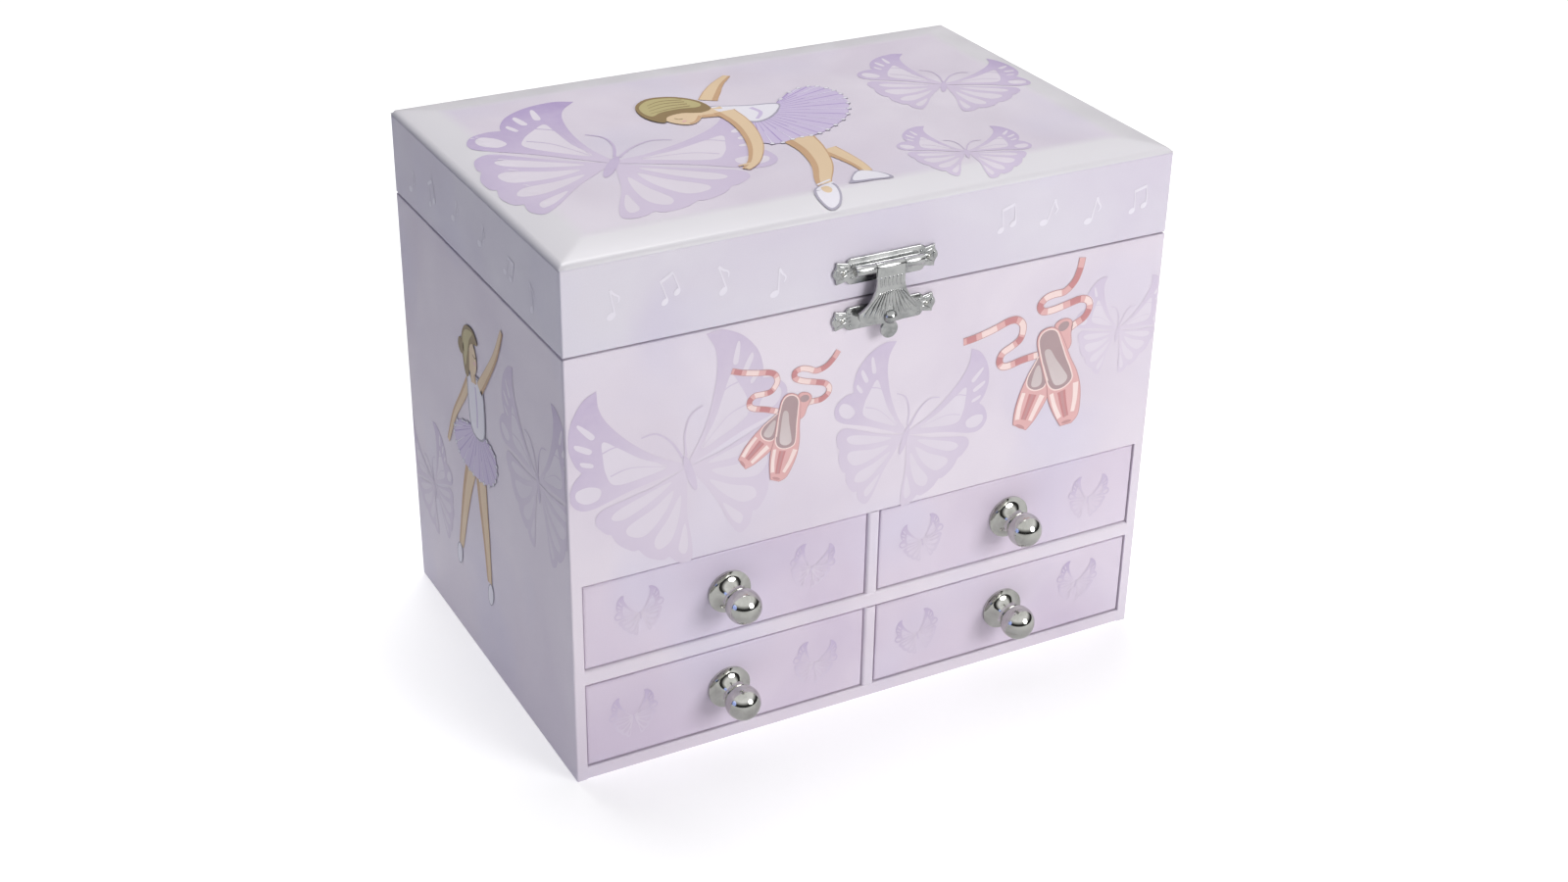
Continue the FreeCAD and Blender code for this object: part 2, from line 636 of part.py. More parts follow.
# ---------------------------------------------------------------- music movement
def make_movement_frame():
    tines, reach = 18, 9
    comb_z = (arbor_z - dim("comb_thickness") / 2, arbor_z + dim("comb_thickness") / 2)
    bed = fuse(block((comb_left - bed_margin, arbor_x + 16),
                     (plate_front - bed_margin, movement_back + bed_margin), (floor_top, bed_top)),
               block((comb_left, comb_right - reach - 0.5), (cylinder_front, cylinder_back),
                     (bed_top, comb_z[0])))
    keep(bed, "movement_bed_plate")
    arbor_hole = rod("y", (cylinder_x, arbor_z), plate_front - 1, movement_back + 1,
                     dim("cylinder_arbor") / 2 + running)
    winding_hole = rod("y", (arbor_x, arbor_z), movement_back - 3, movement_back + 1, arbor + running)
    rear = block((cylinder_x - 6, arbor_x + 8), (movement_back - dim("bearing_plate"), movement_back),
                 (bed_top, arbor_z + 6))
    keep(cut(rear, arbor_hole, winding_hole), "rear_bearing_plate")
    fan_hole = rod("y", (fan_x, arbor_z), plate_front - 1, fan_back + 4, dim("fan_arbor") / 2 + running)
    front = block((cylinder_x - 6, fan_x + 4), (plate_front, plate_back), (bed_top, arbor_z + 4))
    keep(cut(front, arbor_hole, fan_hole), "front_bearing_plate")

    bridge_z = (arbor_z + 5.5, arbor_z + 7)
    bridge_y = (fan_back + 1, spindle_y + 5)
    bridge = fuse(block((fan_x + 1.5, arbor_x + 12), bridge_y, bridge_z),
                  block((arbor_x + 8, arbor_x + 12), bridge_y, (bed_top, bridge_z[1])),
                  block((fan_x - 3.5, fan_x + 3.5), (fan_back + 1, fan_back + 2.5), (bed_top, bridge_z[1])))
    spindle_hole = rod("z", (0, spindle_y), bridge_z[0] - 1, bridge_z[1] + 1, dim("spindle") / 2 + running)
    keep(cut(bridge, spindle_hole, fan_hole), "movement_bridge")

    comb = block((comb_left, comb_right), (cylinder_front, cylinder_back), comb_z)
    pitch = dim("cylinder_length") / tines
    slots = [block((comb_right - reach + 0.2 * n, comb_right + 1),
                   (cylinder_front + pitch * n - 0.15, cylinder_front + pitch * n + 0.15),
                   (comb_z[0] - 1, comb_z[1] + 1)) for n in range(1, tines)]
    keep(cut(comb, group(*slots)), "music_comb")


def make_gear_train():
    to_back = Rotation(Vector(1, 0, 0), -90)
    drum = rod("y", (arbor_x, arbor_z), barrel_front, gear_front, dim("barrel_drum") / 2)
    bore = rod("y", (arbor_x, arbor_z), barrel_front + 1.5, gear_back + 1, arbor + running)
    big = put(gear("barrel_gear", "barrel_teeth", dim("gear_width"), arbor + running),
              arbor_x, gear_front, arbor_z, to_back)
    keep(fuse(cut(drum, bore), big), "spring_barrel")

    shaft = dim("cylinder_arbor") / 2
    keep(rod("y", (cylinder_x, arbor_z), plate_front, movement_back, shaft), "cylinder_arbor")
    tube = rod("y", (cylinder_x, arbor_z), cylinder_front, cylinder_back, dim("cylinder_drum") / 2)
    tips = dim("cylinder_drum") / 2 + dim("tune_pin_rise")
    pins = []
    for number in range(18):
        angle = number * 137.5
        place_y = cylinder_front + dim("cylinder_length") / 18 * (number + 0.5)
        pin = doc.addObject("Part::Cylinder", "tune_pin")
        bind(pin, "Radius", dim("tune_pin") / 2)
        bind(pin, "Height", tips)
        put(pin, cylinder_x, place_y, arbor_z, Rotation(Vector(0, 1, 0), angle))
        pins.append(pin)
    through = rod("y", (cylinder_x, arbor_z), cylinder_front - 1, cylinder_back + 1, shaft)
    keep(cut(fuse(tube, *pins), through), "music_cylinder")
    half_tooth = Rotation(Vector(0, 0, 1), 180 / SIZES["pinion_teeth"])
    pinion = put(gear("pinion_gear", "pinion_teeth", dim("gear_width"), shaft),
                 cylinder_x, gear_front, arbor_z, to_back * half_tooth)
    keep(pinion, "cylinder_pinion")
    wheel = put(gear("wheel_gear", "wheel_teeth", dim("gear_width"), shaft),
                cylinder_x, wheel_front, arbor_z, to_back)
    keep(wheel, "governor_drive_wheel")

    half_tooth = Rotation(Vector(0, 0, 1), 180 / SIZES["fan_teeth"])
    fan_shaft = dim("fan_arbor") / 2
    fan_gear = put(gear("fan_gear", "fan_teeth", dim("gear_width"), fan_shaft / 2),
                   fan_x, wheel_front, arbor_z, to_back * half_tooth)
    reach = dim("fan_reach")
    fan = fuse(rod("y", (fan_x, arbor_z), plate_front, fan_back + 2.5, fan_shaft), fan_gear,
               rod("y", (fan_x, arbor_z), fan_front, fan_back, fan_shaft + 0.8),
               block((fan_x - reach, fan_x + reach), (fan_front, fan_back), (arbor_z - 0.3, arbor_z + 0.3)))
    keep(fan, "governor_fan")


def make_key():
    start, length = back + dim("key_gap"), dim("key_length")
    end = start + length / 2
    shaft = rod("y", (arbor_x, arbor_z), barrel_front + 1.5 + clearance, end - 2, arbor)
    keep(shaft, "winding_arbor")
    hub = rod("y", (arbor_x, arbor_z), start, end, dim("key_hub") / 2)
    thick, wing = dim("key_thickness") / 2, dim("key_wing") / 2
    wing_y = start + length - wing
    solids = [hub]
    for side in (-1, 1):
        solids.append(rod("z", (arbor_x + wing * 1.3 * side, wing_y), arbor_z - thick, arbor_z + thick,
                          wing))
    solids.append(block((arbor_x - wing, arbor_x + wing), (start + 2, wing_y + 2),
                        (arbor_z - thick, arbor_z + thick)))
    keep(cut(fuse(*solids), shaft), "winding_key")


# ---------------------------------------------------------------- dancer and stop wire
def make_dancer():
    spindle = dim("spindle") / 2
    table_low = cover_top + dim("dancer_gap")
    table_top = table_low + dim("turntable_height")
    post = rod("z", (0, spindle_y), arbor_z + 5, table_top - 1, spindle)
    keep(post, "dancer_spindle")
    wheel_z = arbor_z + dim("friction_rise")
    half = dim("friction_width") / 2
    keep(cut(rod("z", (0, spindle_y), wheel_z - half, wheel_z + half, dim("friction_wheel") / 2), post),
         "friction_wheel")
    keep(cut(rod("z", (0, spindle_y), table_low, table_top, dim("turntable") / 2), post), "turntable")
    tall = dim("dancer_height")

    def level(share):
        return table_top + tall * share

    hip, waist, shoulder, head = level(0.42), level(0.52), level(0.70), level(0.83)
    arms = doc.addObject("Part::Torus", "arms")
    bind(arms, "Radius1", tall * 0.135)
    bind(arms, "Radius2", tall * 0.018)
    put(arms, 0, spindle_y, level(0.847), Rotation(Vector(1, 0, 0), 90))
    figure = fuse(cone(0, spindle_y, table_top, hip, tall * 0.02, tall * 0.055),
                  cone(0, spindle_y, hip, waist, tall * 0.055, tall * 0.04),
                  cone(0, spindle_y, waist, shoulder, tall * 0.04, tall * 0.062),
                  rod("z", (0, spindle_y), shoulder, head, tall * 0.02),
                  ball(0, spindle_y, head, tall * 0.068),
                  ball(0, spindle_y + tall * 0.03, level(0.9), tall * 0.03), arms)
    keep(figure, "dancer_figure")
    tutu_low = level(0.45)
    skirt = cone(0, spindle_y, tutu_low, tutu_low + 4, dim("tutu") / 2, dim("tutu") / 6)
    core = cone(0, spindle_y, hip, waist, tall * 0.055, tall * 0.04)
    keep(cut(skirt, core), "dancer_tutu")


def make_stop():
    arm_z = arbor_z + dim("cylinder_drum") / 2 + dim("tune_pin_rise") + clearance + wire
    arm_y = (fan_front + fan_back) / 2
    brake_low = arbor_z + dim("fan_reach") + clearance
    lever = fuse(rod("z", (stop_x, stop_y), arm_z, stop_top, wire), ball(stop_x, stop_y, arm_z, wire),
                 rod("y", (stop_x, arm_z), arm_y, stop_y, wire), ball(stop_x, arm_y, arm_z, wire),
                 rod("x", (arm_y, arm_z), stop_x, fan_x, wire), ball(fan_x, arm_y, arm_z, wire),
                 rod("z", (fan_x, arm_y), brake_low, arm_z, wire))
    keep(lever, "stop_wire")
    guide = rod("z", (stop_x, stop_y), cover_top, cover_top + 6, wire + 1.7)
    keep(cut(guide, rod("z", (stop_x, stop_y), cover_top - 1, cover_top + 7, wire + running)),
         "stop_wire_guide")
    low = stop_top + dim("stop_block_gap")
    keep(block((stop_x - 5, stop_x + 5), (stop_y - 3, lined_back), (low, low + 8)), "lid_stop_block")


# ---------------------------------------------------------------- build, check and export
make_case()
make_drawers()
back_screws, lid_screws = make_hinges()
make_back_panel(back_screws)
make_lid(lid_screws)
make_clasp()
make_fittings()
make_movement_frame()
make_gear_train()
make_key()
make_dancer()
make_stop()

doc.recompute()
for item in doc.Objects:
    if "Invalid" in item.State or "Error" in item.State:
        raise RuntimeError(f"{item.Label} did not recompute: {item.State}")
labels = [piece.Label for piece in pieces]
if len(set(labels)) != len(labels):
    raise RuntimeError("two sub-parts share a name")
for piece in pieces:
    if piece.Shape.isNull() or not piece.Shape.isValid():
        raise RuntimeError(f"{piece.Label} has no valid shape")

os.makedirs("parts", exist_ok=True)
for piece in pieces:
    piece.Shape.exportStep(f"parts/{piece.Label}.step")
    print(f"{piece.Label}: {len(piece.Shape.Solids)} solid(s), {piece.Shape.Volume:.1f} mm3")
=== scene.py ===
# %% [markdown]
# # A child's musical jewellery box
#
# The box is four boards wrapped in printed lilac paper, with a padded lid, a
# stamped clasp and four drawers. Its sizes and joints come from an engineering
# model, which is loaded first and stays a fixed frame. Blender adds what that
# model leaves out: rounded paper edges, the prints, cloth, plating and a dancer.
# Everything is in metres, with the middle of the base underside at the origin,
# X to the right, Y to the back and Z up.

import math
import random

import bmesh
import bpy
from mathutils import Matrix, Vector


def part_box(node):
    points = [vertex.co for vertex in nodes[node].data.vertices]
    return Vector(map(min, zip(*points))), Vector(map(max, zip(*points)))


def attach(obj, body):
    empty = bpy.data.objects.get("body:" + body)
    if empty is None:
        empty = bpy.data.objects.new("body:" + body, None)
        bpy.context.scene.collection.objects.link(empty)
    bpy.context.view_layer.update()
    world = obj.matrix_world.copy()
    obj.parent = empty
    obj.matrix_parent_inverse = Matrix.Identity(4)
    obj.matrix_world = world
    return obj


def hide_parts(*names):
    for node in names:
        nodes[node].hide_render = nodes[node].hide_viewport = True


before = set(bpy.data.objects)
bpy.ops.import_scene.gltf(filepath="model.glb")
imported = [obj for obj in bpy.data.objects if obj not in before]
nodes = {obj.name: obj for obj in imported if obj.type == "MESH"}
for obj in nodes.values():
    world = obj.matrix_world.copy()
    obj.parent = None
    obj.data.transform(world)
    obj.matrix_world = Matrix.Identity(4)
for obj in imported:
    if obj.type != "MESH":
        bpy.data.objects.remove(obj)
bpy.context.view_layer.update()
MM = 0.001

# %% [markdown]
# ## Small helpers for working as by hand
#
# Operators act on whatever is selected, and a freshly loaded model is all
# selected. So each step starts by picking one object, and edges or faces are
# then chosen by their place.

# %% Picking objects, edges and faces
def pick(obj):
    """Selects obj alone and makes it active."""
    if bpy.context.object and bpy.context.object.mode != "OBJECT":
        bpy.ops.object.mode_set(mode="OBJECT")
    bpy.ops.object.select_all(action="DESELECT")
    if obj:
        obj.select_set(True)
        bpy.context.view_layer.objects.active = obj
    return obj


def choose(obj, kind, test):
    """In edit mode, selects only the VERT, EDGE or FACE items that pass test."""
    bpy.ops.mesh.select_mode(type=kind)
    bpy.ops.mesh.select_all(action="DESELECT")
    mesh = bmesh.from_edit_mesh(obj.data)
    items = {"VERT": mesh.verts, "EDGE": mesh.edges, "FACE": mesh.faces}[kind]
    chosen = [item for item in items if test(item)]
    for item in chosen:
        item.select_set(True)
    bmesh.update_edit_mesh(obj.data)
    return len(chosen)


def middle(item):
    """The middle of an edge or face."""
    return sum((v.co for v in item.verts), Vector()) / len(item.verts)


def corners(node_name):
    """The low and high corners of an engineering part's box."""
    return (Vector(corner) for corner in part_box(node_name))


def new_object(name, data):
    """A new object in the scene."""
    obj = bpy.data.objects.new(name, data)
    bpy.context.scene.collection.objects.link(obj)
    return obj


def finish_piece(obj, name, body, finish, stands_for=()):
    """Names a piece, gives it its material, and puts it on its body."""
    pick(obj)
    bpy.ops.object.transform_apply(location=True, rotation=True, scale=True)
    obj.name = obj.data.name = name
    obj.data.materials.clear()
    obj.data.materials.append(finish)
    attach(obj, body)
    if stands_for:
        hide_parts(*stands_for)
    return obj


def smooth(obj, angle=35):
    """Shades smooth where faces meet at less than angle degrees."""
    pick(obj)
    bpy.ops.object.shade_smooth_by_angle(angle=math.radians(angle))


def join(objs):
    """Joins several objects into the first."""
    pick(objs[0])
    for obj in objs:
        obj.select_set(True)
    if len(objs) > 1:
        bpy.ops.object.join()
    return objs[0]


def copy_of_node(node):
    """A welded copy of a node's loose triangles, with its flat faces made whole."""
    obj = pick(new_object(node + "_copy", nodes[node].data.copy()))
    bpy.ops.object.mode_set(mode="EDIT")
    bpy.ops.mesh.select_all(action="SELECT")
    bpy.ops.mesh.remove_doubles(threshold=0.002 * MM)
    bpy.ops.mesh.dissolve_limited(angle_limit=math.radians(1))
    bpy.ops.object.mode_set(mode="OBJECT")
    return obj


# %% [markdown]
# ## Effects that several finishes share
#
# Printed paper, cloth and metal all vary a little over their surface. Each such
# effect is one node group with named inputs. A group puts out a colour, a mask
# or a height, and the shader itself stays in the material.

# %% Node group helpers
def new_group(name, inputs, outputs):
    """A shader group. inputs maps names to kinds and values, with a Vector first,
    and outputs maps names to kinds."""
    group = bpy.data.node_groups.new(name, "ShaderNodeTree")
    add = group.interface.new_socket
    add("Vector", in_out="INPUT", socket_type="NodeSocketVector")
    for title, (kind, value) in inputs.items():
        socket = add(title, in_out="INPUT", socket_type="NodeSocket" + kind)
        socket.default_value = value
    for title, kind in outputs.items():
        add(title, in_out="OUTPUT", socket_type="NodeSocket" + kind)
    start = group.nodes.new("NodeGroupInput")
    end = group.nodes.new("NodeGroupOutput")
    return group, start, end


def node(tree, kind, values=None, **settings):
    """Adds one node. values sets sockets by name or number."""
    made = tree.nodes.new("ShaderNode" + kind)
    for key, value in settings.items():
        setattr(made, key, value)
    for key, value in (values or {}).items():
        made.inputs[key].default_value = value
    return made


def noise(tree, where, scale, detail=3.0, roughness=0.5, distortion=0.0):
    """A noise texture's 0 to 1 value over where."""
    made = node(tree, "TexNoise", {"Scale": scale, "Detail": detail,
                                   "Roughness": roughness,
                                   "Distortion": distortion})
    tree.links.new(where, made.inputs["Vector"])
    return made.outputs[0]


def spread(tree, value, low, high, to_low=0.0, to_high=1.0):
    """Maps value from low..high to to_low..to_high, clamped."""
    made = node(tree, "MapRange", {1: low, 2: high, 3: to_low, 4: to_high})
    tree.links.new(value, made.inputs[0])
    return made.outputs[0]


def feed(tree, made, values):
    """Sets a node's inputs, each to a socket or a plain value."""
    for key, value in values.items():
        if isinstance(value, bpy.types.NodeSocket):
            tree.links.new(value, made.inputs[key])
        else:
            made.inputs[key].default_value = value


def blend_colour(tree, factor, first, second):
    """Mixes two colours, each a socket or a plain value."""
    made = node(tree, "Mix", data_type="RGBA")
    feed(tree, made, {0: factor, 6: first, 7: second})
    return made.outputs[2]


def maths(tree, operation, first, second=0.0):
    """One arithmetic node on two sockets or plain values."""
    made = node(tree, "Math", operation=operation)
    feed(tree, made, {0: first, 1: second})
    return made.outputs[0]


def rgb(red, green, blue):
    """A colour picked as 0 to 255 screen values, as a linear RGBA."""
    def linear(value):
        value /= 255
        return value / 12.92 if value <= 0.04045 else ((value + 0.055) / 1.055) ** 2.4
    return (linear(red), linear(green), linear(blue), 1.0)


# %% The cloudy print, paper grain, weave and smudge groups
MARBLE_BLUE, FIBRE_GREY = rgb(214, 210, 232), rgb(150, 140, 158)


def make_clouds():
    """Soft clouds of two colours with fine paper fibres on top."""
    group, start, end = new_group(
        "cloudy_print", {"Ground": ("Color", rgb(222, 212, 226)),
                         "Cloud": ("Color", rgb(233, 224, 234)),
                         "Cloud Size": ("Float", 14.0)},
        {"Color": "Color", "Gloss Mask": "Float", "Height": "Float"})
    where = start.outputs["Vector"]
    big = node(group, "TexNoise", {"Detail": 3.0, "Distortion": 0.7})
    feed(group, big, {"Vector": where, "Scale": start.outputs["Cloud Size"]})
    cloud = spread(group, big.outputs[0], 0.36, 0.66)
    colour = blend_colour(group, cloud, start.outputs["Ground"],
                          start.outputs["Cloud"])
    cool = spread(group, noise(group, where, 23, 2, 0.4), 0.5, 0.72, 0, 0.35)
    colour = blend_colour(group, cool, colour, MARBLE_BLUE)
    fibre = noise(group, where, 2600, 2, 0.6)
    colour = blend_colour(group, spread(group, fibre, 0.3, 0.7, 0, 0.06), colour,
                          FIBRE_GREY)
    feed(group, end, {
        "Color": colour,
        "Gloss Mask": spread(group, noise(group, where, 60, 3), 0.3, 0.7)})
    swell = maths(group, "MULTIPLY", noise(group, where, 180, 2), 0.6)
    grain = maths(group, "MULTIPLY", fibre, 0.4)
    group.links.new(maths(group, "ADD", swell, grain), end.inputs["Height"])
    return group


def make_weave():
    """Threads crossing at right angles, as a colour mask and a height."""
    group, start, end = new_group("weave", {"Threads": ("Float", 1500.0)},
                                  {"Mask": "Float", "Height": "Float"})
    grown = node(group, "VectorMath", operation="SCALE")
    feed(group, grown, {0: start.outputs["Vector"], "Scale": start.outputs["Threads"]})
    split = node(group, "SeparateXYZ")
    group.links.new(grown.outputs[0], split.inputs[0])
    across = maths(group, "SINE", maths(group, "ADD", split.outputs[0],
                                        split.outputs[2]))
    along = maths(group, "SINE", maths(group, "ADD", split.outputs[1],
                                       maths(group, "MULTIPLY",
                                             split.outputs[2], 0.6)))
    crossing = spread(group, maths(group, "MULTIPLY", across, along), -1, 1)
    group.links.new(crossing, end.inputs["Height"])
    slub = spread(group, noise(group, start.outputs["Vector"], 90, 4), 0.3, 0.7)
    group.links.new(maths(group, "MULTIPLY", crossing, slub), end.inputs["Mask"])
    return group


def make_smudges():
    """Fine polishing lines and soft finger marks on metal."""
    group, start, end = new_group(
        "smudges", {"Clean": ("Float", 0.08), "Dull": ("Float", 0.22)},
        {"Roughness": "Float", "Height": "Float", "Mask": "Float"})
    where = start.outputs["Vector"]
    marks = spread(group, noise(group, where, 170, 5, 0.6, 0.5), 0.42, 0.72)
    mixed = node(group, "Mix")
    feed(group, mixed, {0: marks, 2: start.outputs["Clean"],
                        3: start.outputs["Dull"]})
    feed(group, end, {
        "Roughness": mixed.outputs[0],
        "Height": noise(group, where, 900, 4, 0.7),
        "Mask": marks})
    return group


CLOUDS, WEAVE, SMUDGES = make_clouds(), make_weave(), make_smudges()
print("groups", [group.name for group in (CLOUDS, WEAVE, SMUDGES)])

# %% Starting a material
def start_material(name, **constants):
    """A material with its Principled shader and an Object coordinate."""
    made = bpy.data.materials.new(name)
    made.use_nodes = True
    tree = made.node_tree
    shader = tree.nodes["Principled BSDF"]
    for key, value in constants.items():
        shader.inputs[key.replace("_", " ")].default_value = value
    where = node(tree, "TexCoord").outputs["Object"]
    return made, tree, shader, where


def use_group(tree, group, where, **values):
    """Places a shared group in a material with its own values."""
    made = node(tree, "Group")
    made.node_tree = group
    tree.links.new(where, made.inputs["Vector"])
    for key, value in values.items():
        made.inputs[key.replace("_", " ")].default_value = value
    return made.outputs


def add_bump(tree, shader, height, strength, distance):
    """Feeds a height to the shader's Normal."""
    made = node(tree, "Bump", {"Strength": strength, "Distance": distance})
    tree.links.new(height, made.inputs["Height"])
    tree.links.new(made.outputs[0], shader.inputs["Normal"])


# %% [markdown]
# ## Printed paper
#
# The boards are wrapped in a satin-laminated paper. Its ground is lilac with
# faint marbled clouds, so the clouds run on from board to board: every board
# reads the same Object coordinates. The paper is almost flat, with a very
# shallow swell from the glue and fine fibres.

# %% Printed paper materials
HALF_WIDTH, HALF_DEPTH = 112.5 * MM, 75 * MM
BORDER_WIDE, BORDER_NARROW = 17 * MM, 12 * MM


def border_mask(tree, where):
    """1 on the strip along the lid's edges and 0 on its flat middle."""
    split = node(tree, "SeparateXYZ")
    tree.links.new(where, split.inputs[0])
    sides = [spread(tree, maths(tree, "ABSOLUTE", split.outputs[axis]),
                    half - BORDER_WIDE, half - BORDER_NARROW)
             for axis, half in ((0, HALF_WIDTH), (1, HALF_DEPTH))]
    return maths(tree, "MAXIMUM", *sides)


def paper(name, ground, cloud, swell=1.0, gloss=(0.34, 0.48), border=None):
    """Printed, laminated paper with its own two colours."""
    made, tree, shader, where = start_material(name, Coat_Weight=0.12,
                                               Coat_Roughness=0.25,
                                               Specular_IOR_Level=0.45)
    out = use_group(tree, CLOUDS, where, Ground=ground, Cloud=cloud)
    colour = out["Color"]
    if border:
        colour = blend_colour(tree, border_mask(tree, where), colour, border)
    feed(tree, shader, {
        "Base Color": colour,
        "Roughness": spread(tree, out["Gloss Mask"], 0, 1, *gloss)})
    add_bump(tree, shader, out["Height"], 0.12 * swell, 0.25 * MM)
    return made


body_paper = paper("body_paper", rgb(221, 211, 224), rgb(231, 222, 232))
lid_paper = paper("lid_paper", rgb(216, 208, 223), rgb(224, 219, 229))
pad_paper = paper("pad_paper", rgb(219, 209, 223), rgb(229, 221, 232), 1.6,
                  (0.30, 0.42), rgb(224, 221, 226))
drawer_paper = paper("drawer_paper", rgb(210, 196, 216), rgb(223, 211, 226))
print("papers made")

# %% [markdown]
# ## Boards with soft paper edges
#
# Paper pulled round a board never makes a razor edge. Each outer board is
# replaced by a copy with only its outer edges rounded by about half a
# millimetre. The edges where two boards meet under the same paper stay sharp,
# so that no false seam shows.

# %% Round the outer edges of the boards
low, high = corners("left_side_panel")
CASE_TOP, BODY_LEFT = high.z, low.x
CASE_FRONT, CASE_BACK = low.y, high.y
BODY_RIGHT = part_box("right_side_panel")[1][0]
PAPER_EDGE = 0.6 * MM
NEAR = 0.02 * MM


def at(value, place):
    """True where a coordinate is at a place."""
    return abs(value - place) < NEAR


def wrapped_board(node_name, soft_edge, finish=body_paper, body="case"):
    """A copy of a board with the edges that soft_edge picks rounded."""
    obj = copy_of_node(node_name)
    bpy.ops.object.mode_set(mode="EDIT")
    count = choose(obj, "EDGE", lambda edge: soft_edge(*(v.co for v in edge.verts)))
    bpy.ops.mesh.bevel(offset=PAPER_EDGE, segments=3, affect="EDGES")
    bpy.ops.object.mode_set(mode="OBJECT")
    smooth(obj, 40)
    bpy.ops.object.modifier_add(type="WEIGHTED_NORMAL")
    obj.modifiers[-1].keep_sharp = True
    bpy.ops.object.modifier_apply(modifier=obj.modifiers[-1].name)
    finish_piece(obj, node_name + "_paper", body, finish,
                 [node_name])
    print(obj.name, count, "edges rounded")


def on_outer_corner(a, b, side):
    """From a to b along the border of a side board's outer face."""
    outside = at(a.x, side) and at(b.x, side)
    upright = at(a.y, b.y) and (at(a.y, CASE_FRONT) or at(a.y, CASE_BACK))
    level = at(a.z, b.z) and (at(a.z, 0) or at(a.z, CASE_TOP))
    return outside and (upright or level)


def along(a, b, face, levels):
    """From a to b level on the front or back face, at one of the levels."""
    return (at(a.y, face) and at(b.y, face) and at(a.z, b.z)
            and any(at(a.z, level) for level in levels))


for board_name, side in (("left_side_panel", BODY_LEFT),
                         ("right_side_panel", BODY_RIGHT)):
    wrapped_board(board_name, lambda a, b, side=side: on_outer_corner(a, b, side))
for board_name, face, levels in (
        ("front_panel", CASE_FRONT, (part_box("front_panel")[0][2], CASE_TOP)),
        ("base_panel", CASE_FRONT, (0.0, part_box("base_panel")[1][2])),
        ("back_panel", CASE_BACK, (CASE_TOP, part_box("back_panel")[0][2]))):
    wrapped_board(board_name, lambda a, b, face=face, levels=levels:
                  along(a, b, face, levels))
for board_name in ("middle_shelf", "lower_divider", "upper_divider"):
    nodes[board_name].data.materials.clear()
    nodes[board_name].data.materials.append(body_paper)

# %% Round the lid box
LID_LOW, LID_HIGH = corners("lid_shell")


def on_lid_rim(a, b):
    """The upright corners and the lower and upper rims, on the lid's outside."""
    left, right, front, back = (
        at(a[axis], limit[axis]) and at(b[axis], limit[axis])
        for axis, limit in ((0, LID_LOW), (0, LID_HIGH), (1, LID_LOW), (1, LID_HIGH)))
    corner = (left or right) and (front or back)
    rim = (left or right or front or back) and at(a.z, b.z) and (
        at(a.z, LID_LOW.z) or at(a.z, LID_HIGH.z))
    return corner or rim


wrapped_board("lid_shell", on_lid_rim, lid_paper, "lid")

# %% Round the drawer fronts
DRAWERS = [level + "_" + side + "_drawer" for level in ("upper", "lower")
           for side in ("left", "right")]
CREASE, INSET_STEPS, TURN_BACK = 0.15 * MM, (0.5 * MM, 0.4 * MM), 0.35 * MM


def make_drawer_front(drawer):
    """A board of the front's size with rounded paper edges."""
    low, high = corners(drawer + "_front")
    pick(None)
    bpy.ops.mesh.primitive_cube_add(size=1, location=(low + high) / 2)
    obj = bpy.context.object
    obj.scale = high - low
    bpy.ops.object.transform_apply(location=True, scale=True)
    bpy.ops.object.mode_set(mode="EDIT")
    bpy.ops.mesh.select_all(action="SELECT")
    bpy.ops.mesh.bevel(offset=CREASE, segments=2, affect="EDGES")
    choose(obj, "FACE", lambda f: at(middle(f).y, low.y) and f.calc_area() > MM * MM)
    for step in INSET_STEPS:
        bpy.ops.mesh.inset(thickness=step)
    bpy.ops.object.mode_set(mode="OBJECT")
    for vert in obj.data.vertices:
        inset = min(vert.co.x - low.x, high.x - vert.co.x, vert.co.z - low.z,
                    high.z - vert.co.z)
        if vert.co.y < low.y + 0.2 * MM:
            vert.co.y += TURN_BACK * max(0.0, 1 - inset / sum(INSET_STEPS)) ** 2
    smooth(obj, 60)
    return finish_piece(obj, drawer + "_front_paper", drawer, drawer_paper,
                        [drawer + "_front"])


for drawer in DRAWERS:
    made = make_drawer_front(drawer)
    print(made.name, len(made.data.polygons), "faces")

# %% [markdown]
# ## The padded lid top
#
# The lid is covered with the same printed paper over thin foam. The foam is
# flat in the middle and falls away in a soft border strip all round. A grid is
# lifted by a height that grows with the distance from the edge, which is
# how the real cover is drawn down over its foam. The same height is used later
# to lay the prints on the pad.

# %% The pad's height over the lid
PAD_LOW, PAD_HIGH = corners("lid_pad")
STRIP, RIM_RISE, CROWN, PUFF = 14 * MM, 0.9 * MM, 0.7 * MM, 0.12 * MM
PAD_LIFT = 0.15 * MM


def pad_height(x, y):
    """The height of the pad's cover at x, y."""
    inset = min(x - PAD_LOW.x, PAD_HIGH.x - x, y - PAD_LOW.y, PAD_HIGH.y - y)
    inset = max(inset, 0.0)
    rim = RIM_RISE * min(1.0, math.sqrt(inset / (1.2 * MM)))
    slope = min(1.0, inset / STRIP)
    rise = (PAD_HIGH.z - PAD_LOW.z - RIM_RISE) * (slope + 0.12
                                                   * math.sin(math.pi * slope))
    u = (x - PAD_LOW.x) / (PAD_HIGH.x - PAD_LOW.x)
    v = (y - PAD_LOW.y) / (PAD_HIGH.y - PAD_LOW.y)
    crown = CROWN * (16 * u * (1 - u) * v * (1 - v)) ** 0.5
    puff = PUFF * math.sin(5.3 * math.pi * u + 0.4) * math.sin(
        3.7 * math.pi * v) * slope
    return PAD_LOW.z + rim + rise + crown + puff


